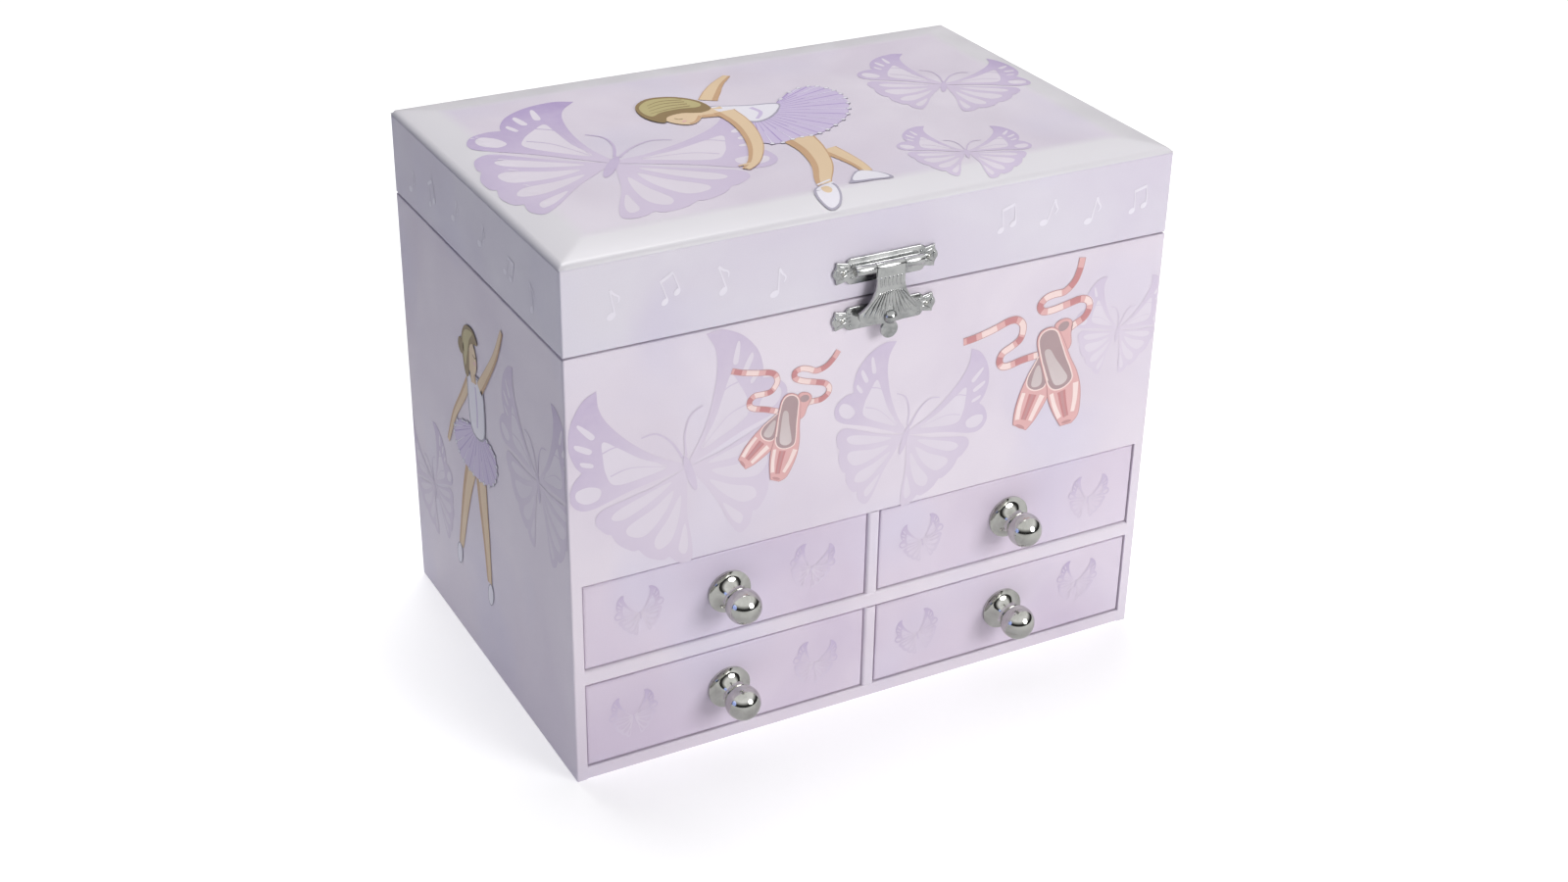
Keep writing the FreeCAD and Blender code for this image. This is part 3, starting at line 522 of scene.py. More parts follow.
def make_pad():
    """The foam pad as one closed form."""
    pick(None)
    bpy.ops.mesh.primitive_grid_add(x_subdivisions=180, y_subdivisions=120,
                                    size=1, location=(0, 0, PAD_LOW.z))
    obj = bpy.context.object
    obj.scale = (PAD_HIGH.x - PAD_LOW.x, PAD_HIGH.y - PAD_LOW.y, 1)
    bpy.ops.object.transform_apply(location=True, scale=True)
    bpy.ops.object.mode_set(mode="EDIT")
    bpy.ops.mesh.select_all(action="SELECT")
    bpy.ops.mesh.extrude_region_move(
        TRANSFORM_OT_translate={"value": (0, 0, 0.2 * MM)})
    mesh = bmesh.from_edit_mesh(obj.data)
    for vert in mesh.verts:
        if vert.select:
            vert.co.z = pad_height(vert.co.x, vert.co.y) + PAD_LIFT
    bmesh.update_edit_mesh(obj.data)
    bpy.ops.mesh.select_all(action="SELECT")
    bpy.ops.mesh.normals_make_consistent(inside=False)
    bpy.ops.object.mode_set(mode="OBJECT")
    smooth(obj, 50)
    return finish_piece(obj, "lid_pad_cover", "lid", pad_paper,
                        ["lid_pad"])


pad = make_pad()
print(pad.name, len(pad.data.polygons), "faces")

# %% [markdown]
# ## Prints
#
# The paper is printed with butterflies, ballet slippers, music notes and a
# dancer. A print could be an image, but drawn shapes stay sharp at any size.
# Each colour of a print is a flat filled curve with a hair of thickness, made a
# mesh and laid just proud of the paper, one level above the other. Outlines are
# given in millimetres, as drawn on squared paper.

# %% Inks
INK_ROUGHNESS = (0.36, 0.46)


def ink(name, strong, faint, streaks):
    """A printing ink that fades by the piece's own "strength" values."""
    made, tree, shader, where = start_material(name, Coat_Weight=0.12,
                                               Coat_Roughness=0.25)
    fade = node(tree, "Attribute", attribute_name="strength").outputs["Fac"]
    cloudy = spread(tree, noise(tree, where, 55, 3, 0.6), 0.25, 0.75, 0.55, 1.0)
    fine = spread(tree, noise(tree, where, streaks, 3, 0.6), 0.2, 0.8, 0.75, 1.0)
    amount = maths(tree, "MULTIPLY", maths(tree, "MULTIPLY", fade, cloudy), fine)
    feed(tree, shader, {
        "Base Color": blend_colour(tree, amount, faint, strong),
        "Roughness": spread(tree, noise(tree, where, 60, 2), 0.3, 0.7, *INK_ROUGHNESS)})
    add_bump(tree, shader, noise(tree, where, 900, 3), 0.1, 0.1 * MM)
    return made


# The strong and the faint tone of each ink, as screen colours.
INK_TONES = {
    "butterfly_pale": ((231, 224, 235), (223, 214, 226)),
    "butterfly_lilac": ((180, 160, 200), (219, 208, 223)),
    "butterfly_violet": ((158, 133, 190), (212, 199, 220)),
    "note_white": ((239, 235, 244), (229, 223, 235)),
    "slipper_line": ((190, 134, 136), (204, 156, 156)),
    "slipper_pink": ((232, 188, 186), (222, 172, 172)),
    "slipper_rose": ((186, 114, 118), (210, 148, 150)),
    "slipper_shine": ((250, 232, 228), (240, 212, 208)),
    "insole_dark": ((164, 136, 140), (182, 158, 160)),
    "insole_pale": ((218, 206, 206), (198, 182, 182)),
    "skin_warm": ((228, 202, 168), (222, 194, 158)),
    "skin_shade": ((186, 146, 108), (206, 168, 130)),
    "hair_blond": ((160, 144, 88), (196, 184, 132)),
    "hair_brown": ((116, 92, 50), (140, 114, 66)),
    "tulle_violet": ((118, 76, 168), (184, 162, 210)),
    "tulle_pale": ((214, 203, 227), (198, 182, 217)),
    "ink_white": ((246, 244, 248), (226, 222, 234)),
    "ink_grey": ((150, 144, 164), (172, 166, 184))}
PLAIN_STREAKS, HAIR_STREAKS = 420, 900
INKS = {name: ink(name, rgb(*strong), rgb(*faint),
                  HAIR_STREAKS if name.startswith("hair") else PLAIN_STREAKS)
        for name, (strong, faint) in INK_TONES.items()}
print(len(INKS), "inks")

# %% Filled shapes
SHEET = 0.006 * MM
LEVEL = 0.016 * MM


class Band(list):
    """The two sides of a brush stroke: the left, then the right one back."""


def smooth_line(points, closed=True, steps=5):
    """A smooth line through points. A third value marks a sharp corner."""
    count = len(points)
    line = []
    for i in range(count if closed else count - 1):
        p = [points[(i + k) % count] if closed
             else points[min(max(i + k, 0), count - 1)] for k in (-1, 0, 1, 2)]
        sharp_start, sharp_end = len(p[1]) > 2, len(p[2]) > 2
        a, b, c, d = (Vector(q[:2]) for q in p)
        leave = (c - b) if sharp_start else (c - a) / 2
        arrive = (c - b) if sharp_end else (d - b) / 2
        for step in range(steps):
            t = step / steps
            line.append(b * (2 * t ** 3 - 3 * t ** 2 + 1)
                        + leave * (t ** 3 - 2 * t ** 2 + t)
                        + c * (3 * t ** 2 - 2 * t ** 3)
                        + arrive * (t ** 3 - t ** 2))
    if not closed:
        line.append(Vector(points[-1][:2]))
    return line


def oval(x, y, wide, high, lean=0, count=20):
    """The outline of an oval, leaning lean degrees anticlockwise."""
    turn = Matrix.Rotation(math.radians(lean), 2)
    return [turn @ Vector((wide / 2 * math.cos(a), high / 2 * math.sin(a)))
            + Vector((x, y)) for a in (math.tau * k / count for k in range(count))]


def stroke(points, start_width, end_width=None, steps=6):
    """The outline of a brush stroke along points."""
    line = smooth_line(points, False, steps)
    end_width = start_width if end_width is None else end_width
    left, right = [], []
    for i, p in enumerate(line):
        way = (line[min(i + 1, len(line) - 1)] - line[max(i - 1, 0)]).normalized()
        half = (start_width + (end_width - start_width) * i / (len(line) - 1)) / 2
        side = Vector((-way.y, way.x)) * half
        left.append(p + side)
        right.append(p - side)
    return Band(left + right[::-1])


def fill_outlines(outlines):
    """The triangles and corners of filled outlines. A shape in a shape is a hole."""
    curve = bpy.data.curves.new("outline", "CURVE")
    curve.dimensions, curve.fill_mode, curve.extrude = "2D", "BOTH", SHEET
    for outline in outlines:
        line = curve.splines.new("POLY")
        line.points.add(len(outline) - 1)
        for point, place in zip(line.points, outline):
            point.co = (place[0] * MM, place[1] * MM, 0, 1)
        line.use_cyclic_u = True
    obj = bpy.data.objects.new("outline", curve)
    flat = bpy.data.meshes.new_from_object(obj)
    mesh = bmesh.new()
    mesh.from_mesh(flat)
    bpy.data.objects.remove(obj)
    bpy.data.meshes.remove(flat)
    bpy.data.curves.remove(curve)
    bmesh.ops.remove_doubles(mesh, verts=mesh.verts, dist=0.001 * MM)
    return mesh


def fill_band(band):
    """A brush stroke as a closed strip of quads."""
    mesh = bmesh.new()
    half = len(band) // 2
    rows = [[[mesh.verts.new((p[0] * MM, p[1] * MM, height)) for p in side]
             for side in (band[:half], band[half:][::-1])]
            for height in (SHEET, -SHEET)]
    (left, right), (left_low, right_low) = rows
    for i in range(half - 1):
        mesh.faces.new((right[i], right[i + 1], left[i + 1], left[i]))
        mesh.faces.new((left_low[i], left_low[i + 1], right_low[i + 1],
                        right_low[i]))
        mesh.faces.new((left[i], left[i + 1], left_low[i + 1], left_low[i]))
        mesh.faces.new((right[i + 1], right[i], right_low[i], right_low[i + 1]))
    mesh.faces.new((left[0], left_low[0], right_low[0], right[0]))
    mesh.faces.new((right[-1], right_low[-1], left_low[-1], left[-1]))
    return mesh


def cut_to(mesh, axis, place, keep_above):
    """Cuts a film straight along one axis and drops one side of it."""
    spot, way = [0, 0, 0], [0, 0, 0]
    spot[axis], way[axis] = place, 1
    bmesh.ops.bisect_plane(mesh, geom=mesh.verts[:] + mesh.edges[:] + mesh.faces[:],
                           plane_co=spot, plane_no=way,
                           clear_inner=keep_above is True,
                           clear_outer=keep_above is False)


# %% The three kinds of layer in a motif
# A motif is a list of layers: the ink, the level that it lies on, its outlines
# and its strength, which is None or a function of the place in the motif.
def shape(ink_name, level, points, strength=None):
    """A layer that is one smooth filled outline."""
    return ink_name, level, [smooth_line(points)], strength


def brush(ink_name, level, points, *widths, strength=None):
    """A layer that is one brush stroke."""
    return ink_name, level, [stroke(points, *widths)], strength


def disc(ink_name, level, *place, strength=None):
    """A layer that is one oval."""
    return ink_name, level, [oval(*place)], strength


# %% Laying prints on the box
GLUE = 0.05 * MM
X, Y, Z = Vector((1, 0, 0)), Vector((0, 1, 0)), Vector((0, 0, 1))
DRAWER_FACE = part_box("upper_left_drawer_front")[0][1]
PAPER_MARGIN = 1 * MM
# Each side of the box: its middle line, the directions of right and up on it,
# and the half width that a print may cover.
SIDES = {"front": (Vector((0, CASE_FRONT, 0)), X, Z, BODY_RIGHT),
         "drawer": (Vector((0, DRAWER_FACE, 0)), X, Z, BODY_RIGHT),
         "left": (Vector((BODY_LEFT, 0, 0)), -Y, Z, CASE_BACK),
         "right": (Vector((BODY_RIGHT, 0, 0)), Y, Z, CASE_BACK),
         "back": (Vector((0, CASE_BACK, 0)), -X, Z, BODY_RIGHT),
         "top": (Vector((0, 0, 0)), X, Y, BODY_RIGHT)}
prints = {}


def lay(motif, side, spot, body="case", turn=0.0, grow=1.0, flip=False, over=0):
    """Lays a motif's layers on a side, spot being in millimetres on it.

    over is how many levels lie under it already."""
    corner, right, up, half_width = SIDES[side]
    out = right.cross(up)
    local = (Matrix.Translation((spot[0] * MM, spot[1] * MM, 0))
             @ Matrix.Rotation(math.radians(turn), 4, "Z")
             @ Matrix.Diagonal((-grow if flip else grow, grow, 1, 1)))
    basis = Matrix((right, up, out)).transposed().to_4x4()
    limit = half_width - PAPER_MARGIN
    back = local.inverted()
    for ink_name, level, outlines, strength in motif:
        is_band = isinstance(outlines[0], Band)
        mesh = fill_band(outlines[0]) if is_band else fill_outlines(outlines)
        mesh.transform(local)
        across = [v.co.x for v in mesh.verts]
        for place, keep_above in ((-limit, True), (limit, False)):
            if min(across) < place < max(across):
                cut_to(mesh, 0, place, keep_above)
        dice = 5 * MM
        for axis in range(2):
            values = [v.co[axis] for v in mesh.verts]
            place = math.floor(min(values) / dice) * dice + dice
            while place < max(values) and (side == "top" or not is_band):
                cut_to(mesh, axis, place, None)
                place += dice
        lift = GLUE + (level + over) * LEVEL
        store = prints.setdefault((body, side, ink_name), ([], [], []))
        first = len(store[0])
        for i, vert in enumerate(mesh.verts):
            vert.index = i
            drawn = back @ vert.co
            store[2].append(strength(drawn.x / MM, drawn.y / MM) if strength
                            else 0.5)
            if side == "top":
                height = pad_height(vert.co.x, vert.co.y) + 0.17 * MM + lift
                store[0].append(vert.co + Z * height)
            else:
                store[0].append(basis @ vert.co + corner + out * lift)
        for face in mesh.faces:
            corners = [first + v.index for v in face.verts]
            store[1].append(corners[::-1] if flip else corners)
        mesh.free()


# %% [markdown]
# ### The butterfly
#
# One butterfly is drawn once, as its right half, in units of the height of its
# wing tips over its body. Each wing is a lilac network with pale cells showing
# through, over a paler ground. The ink is strongest at the wing tips and fades
# towards the body. On the drawers only the network is printed.

# %% Draw the butterfly
UPPER_WING = [(0.03, 0.06, 1), (0.18, 0.20), (0.34, 0.42), (0.46, 0.66), (0.50, 0.84),
              (0.47, 1.0, 1), (0.60, 0.97), (0.74, 0.84), (0.82, 0.66), (0.82, 0.50),
              (0.79, 0.41, 1), (0.88, 0.36), (0.95, 0.25), (0.92, 0.13), (0.80, 0.07),
              (0.50, 0.06), (0.25, 0.03), (0.03, 0.0, 1)]
UPPER_CELLS = [[(0.15, 0.10), (0.32, 0.27), (0.47, 0.47), (0.56, 0.57), (0.60, 0.44),
                (0.62, 0.30), (0.58, 0.17), (0.34, 0.11)],
               [(0.60, 0.66), (0.68, 0.80), (0.70, 0.78), (0.64, 0.64)],
               [(0.66, 0.56), (0.76, 0.66), (0.77, 0.62), (0.69, 0.53)],
               [(0.69, 0.44), (0.77, 0.50), (0.77, 0.46), (0.70, 0.41)],
               [(0.70, 0.20), (0.78, 0.27), (0.88, 0.28), (0.90, 0.21), (0.84, 0.14),
                (0.74, 0.13)]]
LOWER_WING = [(0.03, 0.0, 1), (0.30, -0.01), (0.55, 0.01), (0.76, 0.02), (0.83, -0.06),
              (0.79, -0.18), (0.75, -0.22, 1), (0.72, -0.34), (0.64, -0.45),
              (0.59, -0.47, 1), (0.54, -0.58), (0.44, -0.67), (0.38, -0.67, 1),
              (0.32, -0.77), (0.22, -0.80), (0.17, -0.66), (0.13, -0.40), (0.05, -0.14),
              (0.02, -0.04, 1)]
LOWER_CELLS = [[(0.16, -0.05), (0.40, -0.04), (0.64, -0.05), (0.70, -0.10),
                (0.60, -0.15), (0.36, -0.12)],
               [(0.17, -0.13), (0.36, -0.19), (0.60, -0.23), (0.62, -0.31),
                (0.50, -0.38), (0.30, -0.28)],
               [(0.13, -0.20), (0.28, -0.34), (0.44, -0.46), (0.44, -0.56),
                (0.32, -0.54), (0.20, -0.38)],
               [(0.17, -0.46), (0.24, -0.56), (0.29, -0.66), (0.25, -0.72),
                (0.20, -0.64)]]
FEELER = [(0.015, 0.1), (0.06, 0.28), (0.15, 0.41), (0.27, 0.44)]
VEIN_SHARES = (0.35, 0.7)


def sized(outline, size, mirror=1):
    """An outline scaled up and smoothed."""
    return smooth_line([(x * size * mirror, y * size, *sharp)
                        for x, y, *sharp in outline])


def butterfly(size, left, right, colour="butterfly_lilac", small=False):
    """A butterfly whose wing tips are size millimetres over its body."""
    layers = []
    for mirror, depth in ((-1, left), (1, right)):
        def fade(x, y, depth=depth):
            outwards = (math.hypot(x, y) / size - 0.15) * 0.75
            return depth * min(1.0, max(0.05, outwards + 0.35 * y / size))
        for wing, cells in ((UPPER_WING, UPPER_CELLS), (LOWER_WING, LOWER_CELLS)):
            if not small:
                layers.append(("butterfly_pale", 0, [sized(wing, size, mirror)], fade))
            layers.append((colour, 1, [sized(outline, size, mirror)
                                       for outline in (wing, *cells)], fade))
            if wing is not UPPER_WING:
                continue
            first, tip, last = (cells[0][k] for k in (0, 3, -1))
            for share in VEIN_SHARES:
                rise, foot = tip[1] * share, last[1] * 0.4
                vein = [(0.16 * mirror * size, first[1] * size),
                        (mirror * size * tip[0] * 0.75, size * (rise + foot)),
                        (mirror * size * tip[0] * 1.06, size * (rise * 1.1 + foot))]
                layers.append(brush(colour, 2, vein, size * 0.004, size * 0.012,
                                    strength=fade))
        if not small:
            feeler = [(x * mirror * size, y * size) for x, y in FEELER]
            layers.append(brush(colour, 2, feeler, size * 0.02, size * 0.012,
                                strength=lambda x, y, depth=depth: 0.45 * depth))
    layers.append(disc(colour, 3, 0, -0.06 * size, 0.07 * size, 0.34 * size,
                       strength=lambda x, y: 0.4 * max(left, right)))
    return layers


# %% Lay the butterflies
# Size, strength of the left and right wings, side, middle and turn.
for size, left, right, side, spot, turn in (
        (42, 0.75, 0.45, "front", (-70.5, 111), 17),
        (33, 0.6, 0.55, "front", (11, 103.4), -17),
        (20.5, 0.35, 0.35, "front", (96, 124.5), -9),
        (55, 1.0, 0.4, "top", (-66, -11), -36),
        (33, 0.6, 0.6, "top", (72, 8), -32),
        (24, 0.5, 0.5, "top", (44, -52), -24),
        (34, 0.6, 0.8, "left", (51, 104), 4),
        (25, 0.5, 0.7, "left", (-54, 50), 20),
        (30, 0.5, 0.5, "right", (-42, 108), 14),
        (22, 0.5, 0.5, "right", (48, 52), -20),
        (34, 0.5, 0.5, "back", (-68, 100), 12),
        (26, 0.5, 0.5, "back", (66, 58), -16)):
    on_lid = side == "top"
    lay(butterfly(size, left, right,
                  "butterfly_violet" if on_lid else "butterfly_lilac"),
        side, spot, "lid" if on_lid else "case", turn)
for drawer, spot, turn in (
        ("upper_left_drawer", (-88, 60), 8), ("upper_left_drawer", (-24, 60), -14),
        ("upper_right_drawer", (20, 59), 12), ("upper_right_drawer", (90, 58), -6),
        ("lower_left_drawer", (-91, 20), 4), ("lower_left_drawer", (-22, 20), -12),
        ("lower_right_drawer", (20, 20), 14), ("lower_right_drawer", (88, 23), -8)):
    lay(butterfly(9.5, 0.9, 0.8, small=True), "drawer", spot, drawer, turn)
print(len(prints), "butterfly prints")

# %% [markdown]
# ### The slippers
#
# A pair of pink satin slippers hangs by two curled ribbons. The pair is drawn
# once round the heel of the front slipper. Shade and shine run along the
# toes, and each ribbon turns between light and dark as it curls.

# %% Draw the slippers and their ribbons
FRONT_SLIPPER = [(0, 0), (-3.6, -1.0), (-4.8, -4.2), (-3.8, -9), (-1.6, -16),
                 (0.4, -22), (1.6, -28), (4.2, -34), (7.6, -39.6, 1), (12.2, -39.4, 1),
                 (14.6, -36.6), (15, -31), (14.4, -25), (12.4, -19), (9.2, -13),
                 (6, -6), (3.4, -1.6)]
FRONT_OPENING = [(-0.2, -0.8), (-3.0, -1.8), (-4.0, -4.6), (-2.8, -10), (-0.6, -17),
                 (1.2, -22), (3.8, -24.4), (7.6, -24.2), (10.6, -21.6), (9.6, -17.6),
                 (7.2, -12.4), (5.0, -7), (2.8, -2.2)]
BACK_SLIPPER = [(-2.4, -8.6), (-5.2, -12.4), (-8.2, -17.6), (-10.8, -24), (-12.2, -30),
                (-12.4, -34.6, 1), (-7, -37.8, 1), (-3.8, -34.6), (-0.4, -29.4),
                (1.6, -25), (1.0, -20), (-0.6, -14)]
BACK_OPENING = [(-3.0, -9.8), (-5.4, -13.4), (-7.6, -17.6), (-7.4, -20.8),
                (-4.4, -22.8), (-0.8, -22.2), (-0.2, -18.6), (-1.6, -13.6)]
FAR_HEEL = [(2.0, 0.2), (3.8, 1.8), (6.8, 2.0), (9.0, 0.2), (8.8, -4), (9.2, -8),
            (7.4, -10), (4.8, -6), (3.6, -2)]
FRONT_INSOLE = [(-1.6, -9), (0.6, -8.4), (3.4, -12.6), (6.6, -17), (8.8, -20.6),
                (7.4, -22.8), (4.4, -23), (2.6, -21), (0.6, -16)]
BACK_INSOLE = [(-5, -15), (-3.4, -13.6), (-2, -18), (-2.2, -21), (-4.4, -21.8),
               (-6.2, -20.4)]
LEFT_RIBBON = [(-35, 2), (-30, 2.6), (-23, 4.2), (-17, 6), (-13.4, 5.6), (-11.2, 2.8),
               (-12, -1.6), (-15.2, -3.8), (-18.8, -5.6), (-20, -8.4), (-18.8, -10.6),
               (-16, -11), (-10.6, -10), (-4.4, -9.4)]
RIGHT_RIBBON = [(11.2, 24), (10.4, 19.6), (8.6, 15.6), (5, 12.6), (1, 12.4),
                (-2.6, 11.6), (-4.8, 9.2), (-3.4, 6.8), (0.8, 6.6), (6.6, 7.6),
                (11.8, 8.4), (15, 7.2), (15.8, 4.4), (14, 1.2), (10.2, -0.8),
                (7.4, -2.4)]
RIBBON_WIDTH, STRAIGHT = 2.3, 1


def part_of(line, start, end):
    """A stretch of a drawn line, by its share of the points."""
    count = len(line) - 1
    return line[round(start * count):round(end * count) + 1]


def ribbon(points, dark):
    """A curled ribbon: a shining band with pink and rose stretches."""
    line = [tuple(p) for p in smooth_line(points, False, 6)]

    def band(ink_name, level, stretch, width):
        return ink_name, level, [stroke(stretch, width, width, STRAIGHT)], None
    layers = [band("slipper_line", 0, line, RIBBON_WIDTH + 0.5),
              band("slipper_shine", 1, line, RIBBON_WIDTH)]
    for start, end in dark:
        quarter = 0.25 * (end - start)
        layers += [band("slipper_pink", 2, part_of(line, start, end), RIBBON_WIDTH),
                   band("slipper_rose", 3,
                        part_of(line, start + quarter, end - quarter),
                        RIBBON_WIDTH * 0.96)]
    return layers


def grown(outline, amount):
    """An outline pushed outwards by amount, for a drawn edge."""
    line = smooth_line(outline)
    centre = sum(line, Vector((0, 0))) / len(line)
    result = []
    for i, p in enumerate(line):
        way = (line[(i + 1) % len(line)] - line[i - 1]).normalized()
        side = Vector((way.y, -way.x))
        if side.dot(p - centre) < 0:
            side = -side
        result.append(p + side * amount)
    return result


def slipper(base, shell, opening, toe, shade, shines):
    """One slipper: its shell, the shade and shine on its toe, and its opening."""
    def bright(x, y):
        return 0.9
    return [("slipper_line", base, [grown(shell, 0.28)], None),
            shape("slipper_pink", base + 1, shell),
            brush("slipper_rose", base + 2, shade, 3.4, 2.2),
            disc("slipper_line", base + 2, *toe),
            brush("slipper_line", base + 3, shade, 1.3, 1.0),
            brush("slipper_shine", base + 3, shines[0], 1.5, 1.9, strength=bright),
            brush("slipper_shine", base + 3, shines[1], 2.3, 1.6, strength=bright),
            ("slipper_shine", base + 2, [grown(opening, 0.55)], None),
            shape("insole_dark", base + 3, opening)]


def slippers():
    """The pair of slippers with both ribbons."""
    return [
        *ribbon(LEFT_RIBBON, ((0, 0.1), (0.17, 0.33), (0.43, 0.53), (0.62, 0.76),
                              (0.86, 0.98))),
        *ribbon(RIGHT_RIBBON, ((0, 0.22), (0.34, 0.5), (0.58, 0.7), (0.78, 0.92))),
        ("slipper_line", 1, [grown(FAR_HEEL, 0.25)], None),
        shape("slipper_pink", 2, FAR_HEEL),
        disc("insole_dark", 3, 5.6, -0.6, 4.6, 3.4, 20),
        *slipper(2, BACK_SLIPPER, BACK_OPENING, (-9.6, -36.0, 4.2, 1.3, -30),
                 [(-5.2, -24.4), (-6.6, -28.6), (-8.4, -33.6)],
                 ([(-9.0, -23), (-10.4, -28), (-11.0, -33)],
                  [(-1.2, -25.6), (-3.4, -30), (-5.6, -34.6)])),
        *slipper(7, FRONT_SLIPPER, FRONT_OPENING, (10.0, -38.6, 4.2, 1.3, 2),
                 [(6.8, -25.8), (8.0, -31), (9.6, -36.4)],
                 ([(2.6, -26), (4.4, -31.4), (6.8, -36.4)],
                  [(12.6, -23.6), (12.8, -29.6), (12.2, -35)])),
        shape("insole_pale", 11, FRONT_INSOLE, lambda x, y: min(1.0, 0.1 - y / 25)),
        shape("insole_pale", 6, BACK_INSOLE, lambda x, y: min(1.0, -y / 28)),
        brush("slipper_shine", 11, [(-1.8, -13.6), (0.6, -20.4)], 0.25, 0.5)]


pair = slippers()
for side, spot, turn, grow in (("front", (67, 131.5), 0, 1),
                               ("front", (-32, 128.5), -27, 0.76),
                               ("right", (34, 128), -8, 0.8),
                               ("back", (64, 132), 6, 0.8)):
    lay(pair, side, spot, turn=turn, grow=grow, over=4)
print("slippers drawn with", len(pair), "layers")

# %% [markdown]
# ### Music notes
#
# White notes run round the lid box. A note is an oval head, a stem and a flag
# or a beam.

# %% Draw the notes
def note_ink(x, y):
    """Notes are printed at nearly full strength."""
    return 0.9


def head_and_stem(size):
    """A note without its flag."""
    return [disc("note_white", 0, 0, 0, 3.4 * size, 2.4 * size, 25, strength=note_ink),
            brush("note_white", 1, [(1.4 * size, 0.3), (1.5 * size, 9 * size)],
                  0.5 * size, strength=note_ink)]


def eighth_note(size):
    """A note with one flag."""
    flag = [(1.5 * size, 9 * size), (2.6 * size, 7.2 * size),
            (4.0 * size, 5.6 * size), (3.4 * size, 3.8 * size)]
    return head_and_stem(size) + [brush("note_white", 2, flag, 1.0 * size, 0.3 * size,
                                        strength=note_ink)]


def beamed_notes(size):
    """Two notes under one beam."""
    layers = head_and_stem(size)
    for name, level, outlines, strength in head_and_stem(size):
        moved = [[Vector((p[0] + 6 * size, p[1] + 1.2 * size)) for p in line]
                 for line in outlines]
        layers.append((name, level + 3, moved, strength))
    beam = [(1.3 * size, 8.6 * size), (7.6 * size, 9.8 * size)]
    return layers + [brush("note_white", 2, beam, 1.3 * size, strength=note_ink)]


random.seed(5)
NOTE_HEIGHT = 168
for side, places in (("front", (-96, -78, -58, -40, 44, 61, 79, 97)),
                     ("left", (-58, -38, -16, 8, 30, 52)),
                     ("right", (-56, -34, -12, 10, 32, 54)),
                     ("back", (-94, -70, -44, -18, 10, 34, 60, 88))):
    for i, across in enumerate(places):
        motif = beamed_notes(0.8) if i % 3 == 1 else eighth_note(0.95)
        lay(motif, side, (across, NOTE_HEIGHT + random.uniform(-2.5, 4)), "lid",
            random.uniform(-24, 24))
print("notes laid")

# %% [markdown]
# ### The dancers
#
# A dancer in a violet tutu bows on the lid, and another stretches on the left
# side. Each is built up from a few shapes: limbs, a bodice, a fan of pleats
# with a scalloped hem, hair and slippers. The faces are plain, with closed
# eyes.

# %% Limbs and tutu
def pleated(rim, waist, pleats):
    """A tutu: a pale ground with pleats that fade from the waist to the rim."""
    edge = smooth_line(rim, False, 8)
    top = smooth_line(waist, False, 8)
    layers = [("tulle_pale", 7, [[*edge, *top[::-1]]], None)]
    for i in range(pleats):
        share = (i + 0.5) / pleats
        outer = edge[round(share * (len(edge) - 1))]
        inner = top[round(share * (len(top) - 1))]
        shadow = 0.35 + 0.65 * abs(math.sin(i * 1.9))
        way = outer - inner
        across = Vector((-way.y, way.x)).normalized()
        half = across * (edge[0] - edge[-1]).length / pleats * 0.34

        def fade(x, y, inner=inner, way=way, shadow=shadow):
            along = (Vector((x, y)) - inner).dot(way) / way.length_squared
            return shadow * (1.3 - along)
        layers.append(("tulle_violet", 8, [[inner, outer - half, outer + half]], fade))
        if i % 2:
            layers.append(brush("ink_white", 9, [inner.lerp(outer, 0.55), outer],
                                0.15, 0.4))
        layers += [disc("ink_grey", 9, *outer, 2.0, 1.6),
                   disc("ink_white", 10, *outer, 1.6, 1.2)]
    return layers


def limb(points, widths, order):
    """An arm or leg with a shaded lower side."""
    line = smooth_line(points, False, 6)
    left, right, shade = [], [], []
    for i, p in enumerate(line):
        share = i / (len(line) - 1) * (len(widths) - 1)
        k = min(int(share), len(widths) - 2)
        half = (widths[k] + (widths[k + 1] - widths[k]) * (share - k)) / 2
        way = (line[min(i + 1, len(line) - 1)] - line[max(i - 1, 0)]).normalized()
        side = Vector((-way.y, way.x))
        left.append(p + side * half)
        right.append(p - side * half)
        shade.append(p - side * half * 0.2)
    lit = [*[a.lerp(b, 0.06) for a, b in zip(left, right)],
           *[a.lerp(b, 0.25) for a, b in zip(shade, right)][::-1]]
    return [("skin_shade", order, [[*left, *right[::-1]]], lambda x, y: 0.7),
            ("skin_warm", order + 1, [lit], None)]


# %% The bowing dancer on the lid
FAR_SHOE = [(2.4, -51.4), (-3.8, -57.8), (-4.6, -60), (4, -60.6), (10.6, -61),
            (8.6, -55.4)]
FAR_SHOE_INSIDE = [(2.8, -52), (-2.8, -58), (3.6, -59.4), (9.6, -60), (7.8, -55)]
NEAR_SHOE = [(-17.4, -59), (-20, -65), (-19.4, -72.6), (-14.6, -71), (-10.6, -64),
             (-10.2, -57)]
NEAR_SHOE_INSIDE = [(-16.8, -59.4), (-19.2, -65.4), (-18.6, -71.6), (-14.8, -70),
                    (-11.4, -63.8), (-11, -57.6)]
BOWING_RIM = [(-8.6, 4), (-12.6, -6), (-14.6, -14), (-9.4, -18.6), (-1, -16.8),
              (6, -16.8), (14, -13.4), (23.6, -6.4), (30, 3), (33.4, 13), (32.6, 21),
              (28.6, 26.6), (20.6, 26), (9.6, 17.4)]
BOWING_WAIST = [(-7.4, 5.2), (-3.4, 8), (2, 12.4), (8.2, 16)]
BOWING_BODICE = [(-15, 22.4), (-8.6, 20.8), (-2, 18.4), (8.6, 16), (6, 9.6), (-1, 3.4),
                 (-8, 2.6), (-13, 11)]
BOWING_BODICE_INSIDE = [(-14.4, 21.6), (-8.4, 20), (-2, 17.6), (7.8, 15.2), (5.2, 9.8),
                        (-1.4, 4.2), (-7.4, 3.6), (-12, 11)]
